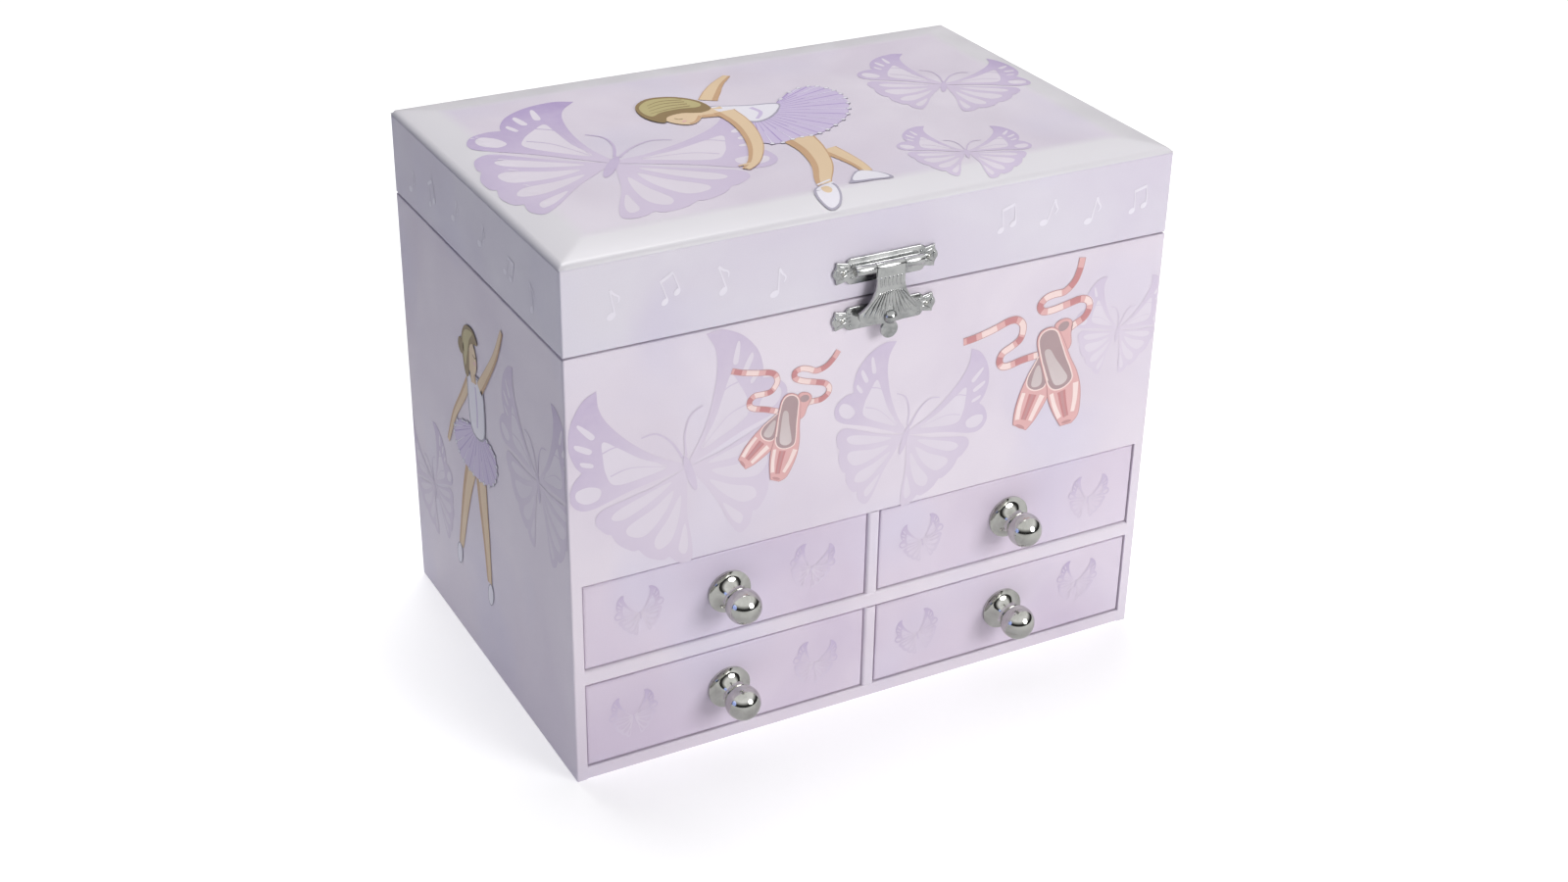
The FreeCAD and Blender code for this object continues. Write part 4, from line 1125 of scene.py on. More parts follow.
BOWING_FACE = [(-33.4, 20), (-25, 21.6), (-20.6, 19.4), (-20.8, 15.6), (-24.6, 11),
               (-28.4, 9.8), (-32, 12.4), (-34, 16.4)]
BOWING_HAIR = [(-37.6, 34), (-31, 39.2), (-23, 37.8), (-17.4, 32.8), (-14.8, 26.8),
               (-15, 20.6), (-20, 18.6), (-26, 20.8), (-32, 19.6), (-35, 15),
               (-38.4, 19), (-39.6, 26)]
BOWING_HAIR_TOP = [(-36.6, 33), (-30.8, 37.6), (-23.6, 36.4), (-18.4, 31.8),
                   (-16.2, 26.4), (-18.6, 23.8), (-25, 25), (-32, 24.6),
                   (-36.6, 22.4), (-38, 27)]


def bowing_dancer():
    """The dancer on the lid, in millimetres on the pad."""
    return [
        *limb([(-12, 29), (-7, 36), (-1, 43.5), (6, 50)], (7, 6.4, 4.6, 2.6), 2),
        *limb([(3, -30), (4.6, -38), (5.6, -46), (5.4, -53)], (8, 6.4, 5, 3.8), 3),
        shape("ink_grey", 4, FAR_SHOE),
        shape("ink_white", 5, FAR_SHOE_INSIDE),
        *limb([(-1, -16), (-1.6, -28), (-5.4, -42), (-11.6, -54), (-13.4, -60)],
              (13, 9.4, 7.4, 5.6, 4.6), 5),
        shape("ink_grey", 7, NEAR_SHOE),
        shape("ink_white", 8, NEAR_SHOE_INSIDE),
        disc("skin_warm", 9, -14.2, -61, 3.4, 5, -10),
        *[brush("ink_white", 9, [(-15.4, height - 1.2), (-9.4, height + 1)], 0.9)
          for height in (-55.6, -57.8)],
        *pleated(BOWING_RIM, BOWING_WAIST, 26),
        shape("ink_grey", 10, BOWING_BODICE),
        shape("ink_white", 11, BOWING_BODICE_INSIDE),
        brush("tulle_pale", 12, [(-2, 15.6), (-1, 10), (-5, 5)], 1.8, 1.2),
        *limb([(-21, 18), (-15, 17), (-11, 17)], (8, 8.6, 9.4), 10),
        *limb([(-12, 16.4), (-11.6, 6), (-13.2, -5), (-17.4, -18), (-24, -29.6),
               (-29.6, -34.8)], (8.4, 7.2, 6.4, 5.6, 4.2, 2.8), 13),
        brush("skin_warm", 15, [(-25, -31), (-30.6, -31.4)], 1.6, 0.8),
        shape("skin_warm", 14, BOWING_FACE),
        brush("skin_shade", 15, [(-21.4, 16), (-25, 11.6), (-28, 10.4)], 1.4, 0.8),
        disc("slipper_pink", 15, -28.6, 13.4, 2.2, 1.2, 30),
        brush("hair_brown", 15, [(-30.6, 17.2), (-29.6, 15.8), (-28.2, 15.6)], 0.5),
        shape("hair_brown", 16, BOWING_HAIR),
        shape("hair_blond", 17, BOWING_HAIR_TOP),
        *[brush("hair_brown", 18, [(-36 + lift * 0.3, 25 + lift),
                                   (-28, 26.4 + lift * 1.1),
                                   (-20.4, 26 + lift * 0.9)], 0.25, 0.7)
          for lift in (0, 2.6, 5.2, 7.6)]]


lay(bowing_dancer(), "top", (0, 0), "lid", over=4)

# %% The reaching dancer on the sides
REACHING_RIM = [(-8, 4), (-20, 0), (-25, -7), (-20, -14), (-10, -16), (2, -15),
                (12, -11), (17, -4), (15, 3), (7, 5)]
REACHING_WAIST = [(-6, 4.6), (-2, 4), (2, 4.2), (6, 5)]
REACHING_BODICE = [(-6.4, 3.4), (6.4, 4), (7.6, 22), (3, 27), (-3, 24.6), (-7.6, 25)]
REACHING_BODICE_INSIDE = [(-5.6, 4), (5.6, 4.6), (6.8, 21.6), (3, 25.6), (-3, 23.6),
                          (-6.8, 23.8)]
REACHING_HAIR = [(-7.6, 27), (-9, 36), (-6, 41.6), (0, 42.6), (3.4, 39.4), (0, 38.4),
                 (-3, 36), (-4.4, 27)]
REACHING_HAIR_TOP = [(-7, 29), (-8, 36.4), (-5.4, 40.6), (0, 41.6), (-2.8, 38.4),
                     (-5, 33)]
CHIN, NECK, HEAD_SCALE = Vector((-2, 28)), Vector((-2.4, 25.6)), 1.25


def reaching_dancer():
    """The dancer on the sides, round the middle of the waist."""
    layers = [
        *limb([(-6, -8), (-14, -24), (-20, -40), (-25, -55)], (10, 8, 6, 4), 2),
        *limb([(0, -8), (1, -24), (2.6, -40), (3.4, -56)], (11, 9, 6.4, 4), 4)]
    for x, y in ((-27, -59.4), (4, -60.6)):
        layers += [disc("ink_grey", 6, x, y, 5.4, 10, -12),
                   disc("ink_white", 7, x, y, 4.6, 9, -12)]
    layers += [
        *limb([(-6, 22), (-14, 12), (-24, 0), (-32, -14)], (5, 4.2, 3.4, 2.2), 6),
        *pleated(REACHING_RIM, REACHING_WAIST, 20),
        shape("ink_grey", 10, REACHING_BODICE),
        shape("ink_white", 11, REACHING_BODICE_INSIDE),
        brush("tulle_pale", 12, [(0, 6), (0.6, 14), (0, 22)], 1.2),
        *limb([(4, 23), (12, 32), (21, 43), (28, 55)], (5.4, 4.4, 3.4, 2.2), 11),
        *limb([(-1, 23), (-2.4, 30)], (5, 5), 12)]
    for name, level, (line,), strength in (
            disc("skin_warm", 14, -2.6, 34, 9, 11.6, 16),
            disc("slipper_pink", 15, 0.6, 32.6, 1.8, 1.2),
            brush("hair_brown", 15, [(-0.6, 35), (0.8, 34.4), (2, 35)], 0.4),
            shape("hair_brown", 16, REACHING_HAIR),
            shape("hair_blond", 17, REACHING_HAIR_TOP),
            disc("hair_brown", 17, -9.6, 34, 4.6, 5, 0)):
        line[:] = [NECK + (p - CHIN) * HEAD_SCALE for p in line]
        layers.append((name, level, [line], strength))
    return layers


lay(reaching_dancer(), "left", (-3, 92), grow=0.98, over=4)
lay(reaching_dancer(), "right", (4, 92), grow=0.98, flip=True, over=4)
print("dancers drawn")

# %% Make each ink of each side into one print
for (body, side, ink_name), (points, faces, strengths) in prints.items():
    print_name = "_".join(("print", body, side, ink_name))
    mesh = bpy.data.meshes.new(print_name)
    mesh.from_pydata(points, [], faces)
    values = mesh.attributes.new("strength", "FLOAT", "POINT").data
    values.foreach_set("value", strengths)
    finish_piece(new_object(print_name, mesh), print_name, body, INKS[ink_name])
print(len(prints), "prints")


# %% [markdown]
# ## Plated and cast metal
#
# The knobs and the clasp are bright nickel or chrome, the hinges plain steel,
# and the movement inside is brass, steel and a cast grey bed. All share the
# smudge group: it makes the plating a little duller where fingers go and adds
# faint polishing lines.

# %% Metal finishes
def metal(name, bright, dark, clean, dull, scratch=0.05, **constants):
    """A metal with two tones and a roughness that changes over it."""
    made, tree, shader, where = start_material(name, Metallic=1.0, **constants)
    out = use_group(tree, SMUDGES, where, Clean=clean, Dull=dull)
    feed(tree, shader, {
        "Base Color": blend_colour(tree, out["Mask"], bright, dark),
        "Roughness": out["Roughness"]})
    add_bump(tree, shader, out["Height"], scratch, 0.05 * MM)
    return made


chrome = metal("knob_chrome", rgb(202, 202, 197), rgb(178, 178, 172), 0.05, 0.13,
               0.01)
stamped_nickel = metal("stamped_nickel", rgb(198, 199, 198), rgb(158, 160, 160),
                       0.13, 0.25, 0.03)
hinge_steel = metal("hinge_steel", rgb(198, 199, 198), rgb(178, 178, 176), 0.22, 0.34,
                    0.04)
brass = metal("gear_brass_finish", rgb(226, 192, 112), rgb(186, 146, 76), 0.2, 0.38,
              0.08)
cast_grey = metal("cast_bed", rgb(150, 152, 154), rgb(112, 114, 118), 0.4, 0.62, 0.5)
mirror_silver = metal("mirror_silver", rgb(240, 242, 244), rgb(236, 239, 242), 0.004,
                      0.02, 0.0)
print("metals made")

# %% [markdown]
# ## Satin, velvet, plastic, card and rubber
#
# The tray is lined with pink satin over card, so its threads show only close
# up, as a soft sheen. The ring rolls are velvet: their sheen is a constant on
# the shader, and the pile is a fine noise.

# %% Cloth and plastic finishes
def cloth(name, colour, dark, threads, sheen, depth, **constants):
    """A woven cloth with slubs, sheen and a thread bump."""
    made, tree, shader, where = start_material(
        name, Sheen_Weight=sheen, Sheen_Roughness=0.4, **constants)
    out = use_group(tree, WEAVE, where, Threads=threads)
    tone = blend_colour(tree, out["Mask"], colour, dark)
    patch = spread(tree, noise(tree, where, 26, 3), 0.35, 0.65, 0, 0.35)
    feed(tree, shader, {
        "Base Color": blend_colour(tree, patch, tone, dark),
        "Roughness": spread(tree, out["Height"], 0, 1, 0.34, 0.55)})
    add_bump(tree, shader, out["Height"], 0.35, depth)
    return made


def plain(name, colour, dark, rough, bump, scale=120.0, **constants):
    """A moulded or coated surface with soft mottling and a fine texture."""
    made, tree, shader, where = start_material(name, **constants)
    mottle = spread(tree, noise(tree, where, scale, 4, 0.6), 0.3, 0.7)
    feed(tree, shader, {
        "Base Color": blend_colour(tree, mottle, colour, dark),
        "Roughness": spread(tree, mottle, 0, 1, rough, rough + 0.12)})
    add_bump(tree, shader, noise(tree, where, scale * 14, 3), bump, 0.1 * MM)
    return made


satin = cloth("pink_satin", rgb(238, 190, 208), rgb(220, 160, 186), 5200, 0.35,
              0.05 * MM)
velvet = cloth("ring_velvet_pile", rgb(206, 120, 160), rgb(168, 84, 128), 3000, 0.9,
               0.12 * MM)
card = plain("tray_card_paper", rgb(232, 222, 236), rgb(218, 206, 226), 0.6, 0.25)
rubber = plain("wheel_rubber_black", rgb(52, 50, 52), rgb(36, 35, 37), 0.7, 0.3)
FINISH_OF_SLOT = {
    "printed_board": body_paper, "drawer_print": drawer_paper,
    "padded_print": pad_paper, "tray_card": card, "satin_lining": satin,
    "ring_velvet": velvet, "chrome_plate": chrome, "nickel_steel": hinge_steel,
    "cast_metal": cast_grey, "gear_brass": brass, "mirror_glass": mirror_silver,
    "wheel_rubber": rubber}
painted = 0
for part in nodes.values():
    slot_name = part.data.materials[0].name if part.data.materials else ""
    slot_name = slot_name.split(".")[0]
    if slot_name in FINISH_OF_SLOT:
        part.data.materials[0] = FINISH_OF_SLOT[slot_name]
        painted += 1
print(painted, "parts given their finish")

# %% [markdown]
# ## The clasp
#
# The clasp is stamped from thin plated sheet. Its plates have scrolled ends, and
# the hasp has short ribs at its neck and flutes that spread like a shell. A
# stamping has soft edges, so each plate is a copy with a small bevel, and every
# raised rib is a ball drawn out long and thin and half sunk in the sheet.

# %% Soften the stamped plates
STAMPED_EDGE = 0.22 * MM


def stamped(node_name, body):
    """A copy of a sheet part with all its sharp edges rounded."""
    obj = copy_of_node(node_name)
    rounding = obj.modifiers.new("rounding", "BEVEL")
    rounding.width, rounding.segments = STAMPED_EDGE, 2
    rounding.limit_method, rounding.angle_limit = "ANGLE", math.radians(50)
    pick(obj)
    bpy.ops.object.modifier_apply(modifier="rounding")
    smooth(obj, 40)
    return finish_piece(obj, node_name + "_stamped", body, stamped_nickel,
                        [node_name])


for node_name, body in (("clasp_lid_plate", "lid"), ("clasp_hasp", "hasp"),
                        ("clasp_catch_plate", "case")):
    made = stamped(node_name, body)
    print(made.name, len(made.data.polygons), "faces")
nodes["clasp_pin"].data.materials[0] = chrome


# %% Raise the ribs, flutes, scrolls and brads
def ridge(start, end, wide, proud):
    """A long thin rounded rib from start to end on a front face."""
    start, end = Vector(start), Vector(end)
    way = end - start
    pick(None)
    bpy.ops.mesh.primitive_uv_sphere_add(segments=12, ring_count=8, radius=1)
    obj = bpy.context.object
    turn = math.atan2(way.x, way.z)
    obj.data.transform(
        Matrix.Translation((start + end) / 2) @ Matrix.Rotation(turn, 4, "Y")
        @ Matrix.Diagonal((wide / 2, proud, way.length / 2, 1)))
    return obj


def relief(name, body, ridges, finish=stamped_nickel):
    """One piece of many ribs. Each rib is start, end, width and height."""
    parts = [ridge([v * MM for v in start], [v * MM for v in end], wide * MM,
                   proud * MM) for start, end, wide, proud in ridges]
    whole = join(parts)
    smooth(whole, 60)
    return finish_piece(whole, name, body, finish)


HASP_FACE, PLATE_FACE = -79.7, -76
NECK_FOOT, NECK_TOP, STUD_TOP = 162.4, 166.2, 155.4
hasp_ribs = [((x, HASP_FACE, NECK_FOOT), (x, HASP_FACE, NECK_TOP), 0.9, 0.32)
             for x in (-3.75, -2.25, -0.75, 0.75, 2.25, 3.75)]
for step in range(-5, 6):
    fan = step / 5
    head = (3.6 * fan, HASP_FACE, 161.3 - 0.4 * abs(fan))
    foot = (9.9 * fan, HASP_FACE, 151.3 + 1.9 * fan ** 2 if step else STUD_TOP)
    hasp_ribs.append((head, foot, 1.25, 0.42))
made = relief("hasp_flutes", "hasp", hasp_ribs)
print(made.name, "with", len(hasp_ribs), "ribs")


def plate_scrolls(height, half, drop):
    """Scroll-like ribs and a rim of beads for one plate, both ends alike."""
    ribs = []
    for side in (-1, 1):
        def spot(x, z, side=side):
            return (side * x, PLATE_FACE, height + z)
        ribs += [(spot(13.6, 0.4), spot(17.8, 0.2), 1.3, 0.3),
                 (spot(14.0, 1.4), spot(17.6, 2.5), 0.8, 0.28),
                 (spot(14.0, -0.7), spot(17.6, -2.2), 0.8, 0.28),
                 (spot(18.0, -1.0), spot(18.0, 1.5), 0.9, 0.3)]
        for count in range(4):
            x, z = 13.1 - count * 0.1, half - count * drop
            ribs.append((spot(x, z - 1.4 - count * 0.05), spot(x, z - 2.3), 0.9, 0.3))
    return ribs


PLATES = (("lid_plate", "lid", 168.4, 4.2, 1.5),
          ("catch_plate", "case", 151.7, 3.8, 1.4))
for plate, body, height, half, drop in PLATES:
    relief(plate + "_scrolls", body, plate_scrolls(height, half, drop))
BRAD_FACE = PLATE_FACE - 0.05
for plate, body, height, _, _ in PLATES:
    heads = [((x, BRAD_FACE, height - 0.9), (x, BRAD_FACE, height + 0.9), 1.8, 0.65)
             for x in (-15.8, 15.8)]
    relief(plate + "_brads", body, heads, chrome)
print("clasp finished")

# %% [markdown]
# ## Ring rolls
#
# Five velvet rolls hold rings between them. A roll is foam wrapped in cloth, so
# it is fuller in the middle and pulled in at its ends. Each is spun as a round
# bar of many rings, then swollen and creased with a height that changes along
# and round it.

# %% Make the ring rolls
def make_ring_rolls():
    """Five padded rolls with gathered ends on a thin base."""
    box_low, box_high = corners("ring_cushions")
    rolls = 5
    pitch = (box_high.x - box_low.x) / rolls
    radius = pitch / 2 - 0.15 * MM
    middle_z = box_high.z - radius + 0.1 * MM
    half_length = (box_high.y - box_low.y) / 2
    middle_y = (box_high.y + box_low.y) / 2
    parts = []
    for number in range(rolls):
        pick(None)
        bpy.ops.mesh.primitive_uv_sphere_add(segments=40, ring_count=48, radius=1)
        obj = bpy.context.object
        centre_x = box_low.x + pitch * (number + 0.5)
        for vert in obj.data.vertices:
            around = math.atan2(vert.co.y, vert.co.x)
            along = math.asin(max(-1, min(1, vert.co.z))) / (math.pi / 2)
            full = max(0.0, 1 - abs(along) ** 7) ** 0.5
            crease = 1 + 0.018 * math.sin(11 * around + number) * abs(along) ** 3
            crease += 0.012 * math.sin(9 * along * math.pi + 2 * around + number)
            sag = 0.985 - 0.015 * math.cos(along * math.pi)
            r = radius * full * crease * sag
            vert.co = (centre_x + r * math.cos(around),
                       middle_y + half_length * along * 0.995,
                       middle_z + r * math.sin(around))
        parts.append(obj)
    pick(None)
    bpy.ops.mesh.primitive_cube_add(size=1)
    base = bpy.context.object
    base.scale = (box_high.x - box_low.x, box_high.y - box_low.y,
                  middle_z - 2 * MM - box_low.z)
    base.location = ((box_high.x + box_low.x) / 2, middle_y,
                     (middle_z - 2 * MM + box_low.z) / 2)
    bpy.ops.object.transform_apply(location=True, scale=True)
    bpy.ops.object.mode_set(mode="EDIT")
    bpy.ops.mesh.bevel(offset=1 * MM, segments=3, affect="EDGES")
    bpy.ops.object.mode_set(mode="OBJECT")
    parts.append(base)
    whole = join(parts)
    pick(whole)
    bpy.ops.object.mode_set(mode="EDIT")
    bpy.ops.mesh.select_all(action="SELECT")
    bpy.ops.mesh.remove_doubles(threshold=0.001 * MM)
    bpy.ops.mesh.normals_make_consistent(inside=False)
    bpy.ops.object.mode_set(mode="OBJECT")
    smooth(whole, 60)
    return finish_piece(whole, "ring_rolls", "case", velvet,
                        ["ring_cushions"])


ring_rolls = make_ring_rolls()
print(ring_rolls.name, len(ring_rolls.data.polygons), "faces")

# %% [markdown]
# ## The dancer
#
# A little moulded dancer stands on one toe on the turntable, arms raised in
# a ring. Thin organic forms like this are quick to make with the Skin modifier:
# a stick figure of points gets a radius at each point, and two levels of
# subdivision round it off. The face is plain, with painted closed eyes.

# %% Model the figure
figure_low, figure_high = corners("dancer_figure")
FIGURE = figure_high.z - figure_low.z
STAND = Vector(((figure_low.x + figure_high.x) / 2,
                sum(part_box("dancer_spindle")[k][1] for k in (0, 1)) / 2,
                figure_low.z))


def skin_figure(name, points, bones, finish):
    """A rounded form round a stick figure. A point is x, y, z and radius, as
    shares of the figure's height."""
    mesh = bpy.data.meshes.new(name)
    mesh.from_pydata([STAND + Vector(p[:3]) * FIGURE for p in points], bones, [])
    obj = pick(new_object(name, mesh))
    bpy.ops.object.modifier_add(type="SKIN")
    for point, place in zip(obj.data.skin_vertices[0].data, points):
        thick = place[3] * FIGURE
        deep = place[4] * FIGURE if len(place) > 4 else thick
        point.radius = (thick, deep)
    obj.data.skin_vertices[0].data[0].use_root = True
    obj.modifiers["Skin"].branch_smoothing = 0.6
    bpy.ops.object.modifier_apply(modifier="Skin")
    bpy.ops.object.modifier_add(type="SUBSURF")
    obj.modifiers[-1].levels = obj.modifiers[-1].render_levels = 2
    bpy.ops.object.modifier_apply(modifier=obj.modifiers[-1].name)
    bpy.ops.object.shade_smooth()
    return finish_piece(obj, name, "dancer", finish)


doll_skin = plain("doll_skin", rgb(244, 212, 190), rgb(238, 200, 176), 0.34, 0.05,
                  200, Coat_Weight=0.2, Subsurface_Weight=0.06)
doll_hair = plain("doll_hair", rgb(120, 84, 48), rgb(92, 62, 36), 0.4, 0.3, 500)
doll_pink = plain("doll_pink", rgb(240, 168, 196), rgb(228, 146, 180), 0.3, 0.1, 300,
                  Coat_Weight=0.3)
doll_white = plain("turntable_white", rgb(244, 240, 244), rgb(234, 228, 236), 0.32,
                   0.05, 90)

# Chains of points from the hips, and of the arms from the chest.
SPINE = [(0, 0, 0.44, 0.050, 0.042), (0, 0, 0.50, 0.040, 0.034),
         (0, 0, 0.555, 0.033, 0.028), (0, 0, 0.62, 0.042, 0.034),
         (0, 0, 0.68, 0.046, 0.030), (0, 0, 0.72, 0.018, 0.018),
         (0, -0.002, 0.765, 0.015, 0.016)]
STANDING_LEG = [(0.004, 0, 0.40, 0.036), (0.004, 0, 0.30, 0.029),
                (0.002, -0.004, 0.20, 0.022), (0, 0.004, 0.13, 0.021),
                (0, 0, 0.06, 0.013), (0, 0, 0.012, 0.010)]
RAISED_LEG = [(-0.028, 0.01, 0.40, 0.034), (-0.075, 0.02, 0.33, 0.028),
              (-0.115, 0.035, 0.27, 0.021), (-0.07, 0.075, 0.235, 0.019),
              (-0.02, 0.105, 0.215, 0.012), (0.012, 0.118, 0.20, 0.008)]
ARM = [(0.062, 0, 0.69, 0.020), (0.112, -0.005, 0.745, 0.016),
       (0.135, -0.012, 0.82, 0.0135), (0.105, -0.018, 0.905, 0.011),
       (0.055, -0.02, 0.965, 0.010), (0.022, -0.02, 0.978, 0.008)]
OTHER_ARM = [(-x, *rest) for x, *rest in ARM]
HIPS, CHEST = 0, 4
body_points, bones = list(SPINE), [(k, k + 1) for k in range(len(SPINE) - 1)]
for root, chain in ((HIPS, STANDING_LEG), (HIPS, RAISED_LEG), (CHEST, ARM),
                    (CHEST, OTHER_ARM)):
    for place in chain:
        bones.append((root, len(body_points)))
        root = len(body_points)
        body_points.append(place)
dancer_body = skin_figure("dancer_body", body_points, bones, doll_skin)
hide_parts("dancer_figure")
print(dancer_body.name, len(dancer_body.data.polygons), "faces")


# %% Model the head, hair, bodice and slippers
def egg(centre, size, taper=0.0, lean=0.0):
    """A ball stretched to size and narrowed downwards by taper."""
    pick(None)
    bpy.ops.mesh.primitive_uv_sphere_add(segments=32, ring_count=20, radius=1)
    obj = bpy.context.object
    for vert in obj.data.vertices:
        narrow = 1 - taper * max(0.0, -vert.co.z) ** 1.5
        vert.co = (vert.co.x * narrow, vert.co.y * narrow, vert.co.z)
    obj.data.transform(
        Matrix.Translation(STAND + Vector(centre) * FIGURE)
        @ Matrix.Rotation(lean, 4, "X")
        @ Matrix.Diagonal((*[value * FIGURE for value in size], 1)))
    bpy.ops.object.shade_smooth()
    return obj


HEAD, HEAD_SIZE, HEAD_TAPER = (0, -0.004, 0.828), (0.050, 0.056, 0.064), 0.30
NOSE, NOSE_SIZE, NOSE_LEAN = (0, -0.062, 0.822), (0.006, 0.009, 0.011), 0.3
head = join([egg(HEAD, HEAD_SIZE, HEAD_TAPER),
             egg(NOSE, NOSE_SIZE, lean=NOSE_LEAN),
             *[egg((side * HEAD_SIZE[0], 0.004, 0.826), (0.007, 0.010, 0.014))
               for side in (1, -1)]])
finish_piece(head, "dancer_head", "dancer", doll_skin)


BUN = (0, 0.040, 0.905)


def make_hair():
    """A swept-back cap of hair with a bun, grooved like combed strands."""
    cap = egg((0, 0.010, 0.842), (0.0545, 0.056, 0.060), 0.1)
    pick(cap)
    bpy.ops.object.mode_set(mode="EDIT")
    bpy.ops.mesh.select_all(action="SELECT")
    bpy.ops.mesh.bisect(plane_co=STAND + Vector((0, -0.030, 0.852)) * FIGURE,
                        plane_no=(0, -1, -0.75), use_fill=True, clear_outer=True)
    bpy.ops.object.mode_set(mode="OBJECT")
    bun = egg(BUN, (0.030, 0.030, 0.026))
    centre = STAND + Vector(BUN) * FIGURE
    for vert in bun.data.vertices:
        off = vert.co - centre
        vert.co = centre + off * (1 + 0.05 * math.sin(9 * math.atan2(off.y, off.x)
                                                      + 900 * off.z))
    return join([cap, bun])


finish_piece(make_hair(), "dancer_hair", "dancer", doll_hair)
BODICE = [(0, 0, 0.475, 0.046, 0.039), (0, 0, 0.515, 0.040, 0.034),
          (0, 0, 0.56, 0.0365, 0.0315), (0, 0, 0.615, 0.0455, 0.0375),
          (0, -0.001, 0.655, 0.0480, 0.0375)]
skin_figure("dancer_bodice", BODICE, [(k, k + 1) for k in range(4)], doll_pink)
shoes = join([egg((0, -0.003, 0.034), (0.0155, 0.0175, 0.042), 0.45),
              egg((0.010, 0.114, 0.203), (0.013, 0.013, 0.034), 0.4, 1.9)])
finish_piece(shoes, "dancer_slippers", "dancer", doll_pink)

ink_brown = plain("painted_brown", rgb(92, 60, 44), rgb(80, 52, 38), 0.4, 0.0)
ink_rose = plain("painted_rose", rgb(206, 96, 108), rgb(196, 86, 98), 0.4, 0.0)


def painted_line(points, thick):
    """A thin painted line on the face, as a round tube."""
    curve = bpy.data.curves.new("line", "CURVE")
    curve.dimensions, curve.bevel_depth, curve.bevel_resolution = "3D", thick, 2
    line = curve.splines.new("POLY")
    line.points.add(len(points) - 1)
    for point, place in zip(line.points, points):
        point.co = (*(STAND + Vector(place) * FIGURE), 1)
    curve.use_fill_caps = True
    pick(new_object("line", curve))
    bpy.ops.object.convert(target="MESH")
    return bpy.context.object


def on_face(x, z):
    """A point on the front of the head."""
    u, w = x / HEAD_SIZE[0], (z - HEAD[2]) / HEAD_SIZE[2]
    narrow = 1 - HEAD_TAPER * max(0.0, -w) ** 1.5
    depth = max(0.0, 1 - (u / narrow) ** 2 - w * w) ** 0.5
    return (x, HEAD[1] - HEAD_SIZE[1] * depth * narrow, z)


def face_arc(start, step, height, bow, counts, turn):
    """Points of a bowed line on the face, from start outwards."""
    return [on_face(start + step * k, height + bow * turn(k * math.pi / 4))
            for k in counts]


eyes = []
for side in (-1, 1):
    lid = face_arc(side * 0.012, side * 0.004, 0.833, -0.004, range(5), math.sin)
    brow = face_arc(side * 0.011, side * 0.005, 0.849, 0.003, range(5), math.sin)
    eyes += [painted_line(lid, 0.09 * MM), painted_line(brow, 0.06 * MM)]
finish_piece(join(eyes), "dancer_eyes", "dancer", ink_brown)
lips = painted_line(face_arc(0, 0.003, 0.796, -0.0015, range(-3, 4), math.cos),
                    0.12 * MM)
finish_piece(lips, "dancer_lips", "dancer", ink_rose)
print("figure finished")

# %% [markdown]
# ## The tutu
#
# The skirt is one long strip of stiff net, gathered at the waist so that its
# rim ripples. It is built as a ring whose height waves more and more towards
# the rim. Three layers of different width make it full.

# %% Net material and the gathered skirt
def make_net():
    """Fine net: threads with open holes between them."""
    made, tree, shader, where = start_material("pink_net", Sheen_Weight=0.3,
                                               Roughness=0.6)
    uv = node(tree, "TexCoord").outputs["UV"]
    split = node(tree, "SeparateXYZ")
    tree.links.new(uv, split.inputs[0])
    lines = [maths(tree, "ABSOLUTE", maths(tree, "SINE", maths(
        tree, "MULTIPLY", split.outputs[axis], count)))
        for axis, count in ((0, 900.0), (1, 60.0))]
    thread = maths(tree, "MINIMUM", *lines)
    cover = spread(tree, thread, 0.3, 0.6, 1.0, 0.55)
    tree.links.new(cover, shader.inputs["Alpha"])
    tone = spread(tree, noise(tree, where, 400, 3), 0.3, 0.7)
    tree.links.new(blend_colour(tree, tone, rgb(246, 190, 214), rgb(250, 214, 230)),
                   shader.inputs["Base Color"])
    return made


net = make_net()
WAIST_Z, WAIST_R = 0.487 * FIGURE, 0.034 * FIGURE
RIM_R = 0.218 * FIGURE


def skirt_layer(name, rim, lift, waves, seed, droop):
    """One gathered layer: a ring of rings from the waist to its rim."""
    around, along = 360, 14
    points, faces, area = [], [], 0.0
    for ring in range(along + 1):
        share = ring / along
        for step in range(around):
            angle = math.tau * step / around
            wave = math.sin(waves * angle + seed) + 0.35 * math.sin(
                (waves * 2 + 3) * angle + 2 * seed)
            r = WAIST_R + (rim - WAIST_R) * share * (1 + 0.012 * wave)
            z = (WAIST_Z + lift * share - droop * share ** 2
                 + 0.9 * MM * wave * share ** 1.4)
            points.append(STAND + Vector((r * math.cos(angle), r * math.sin(angle),
                                          z)))
    for ring in range(along):
        for step in range(around):
            a, b = ring * around + step, ring * around + (step + 1) % around
            faces.append((a, b, b + around, a + around))
    mesh = bpy.data.meshes.new(name)
    mesh.from_pydata(points, [], [face[::-1] for face in faces])
    wrap = mesh.uv_layers.new(name="UVMap").data
    for poly in mesh.polygons:
        area += poly.area
        for loop in poly.loop_indices:
            index = mesh.loops[loop].vertex_index
            step, ring = index % around, index // around
            if step == 0 and poly.index % around == around - 1:
                step = around
            wrap[loop].uv = (step / around, ring / along)
    obj = pick(new_object(name, mesh))
    bpy.ops.object.shade_smooth()
    finish_piece(obj, name, "dancer", net)
    return obj


skirts = [skirt_layer("tutu_top", RIM_R * 0.95, 1.6 * MM, 22, 0.0, 1.2 * MM),
          skirt_layer("tutu_middle", RIM_R, 0.7 * MM, 19, 1.3, 1.6 * MM),
          skirt_layer("tutu_under", RIM_R * 0.93, -0.6 * MM, 24, 2.6, 1.8 * MM)]
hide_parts("dancer_tutu")
nodes["turntable"].data.materials[0] = doll_white
print(len(skirts), "skirt layers")

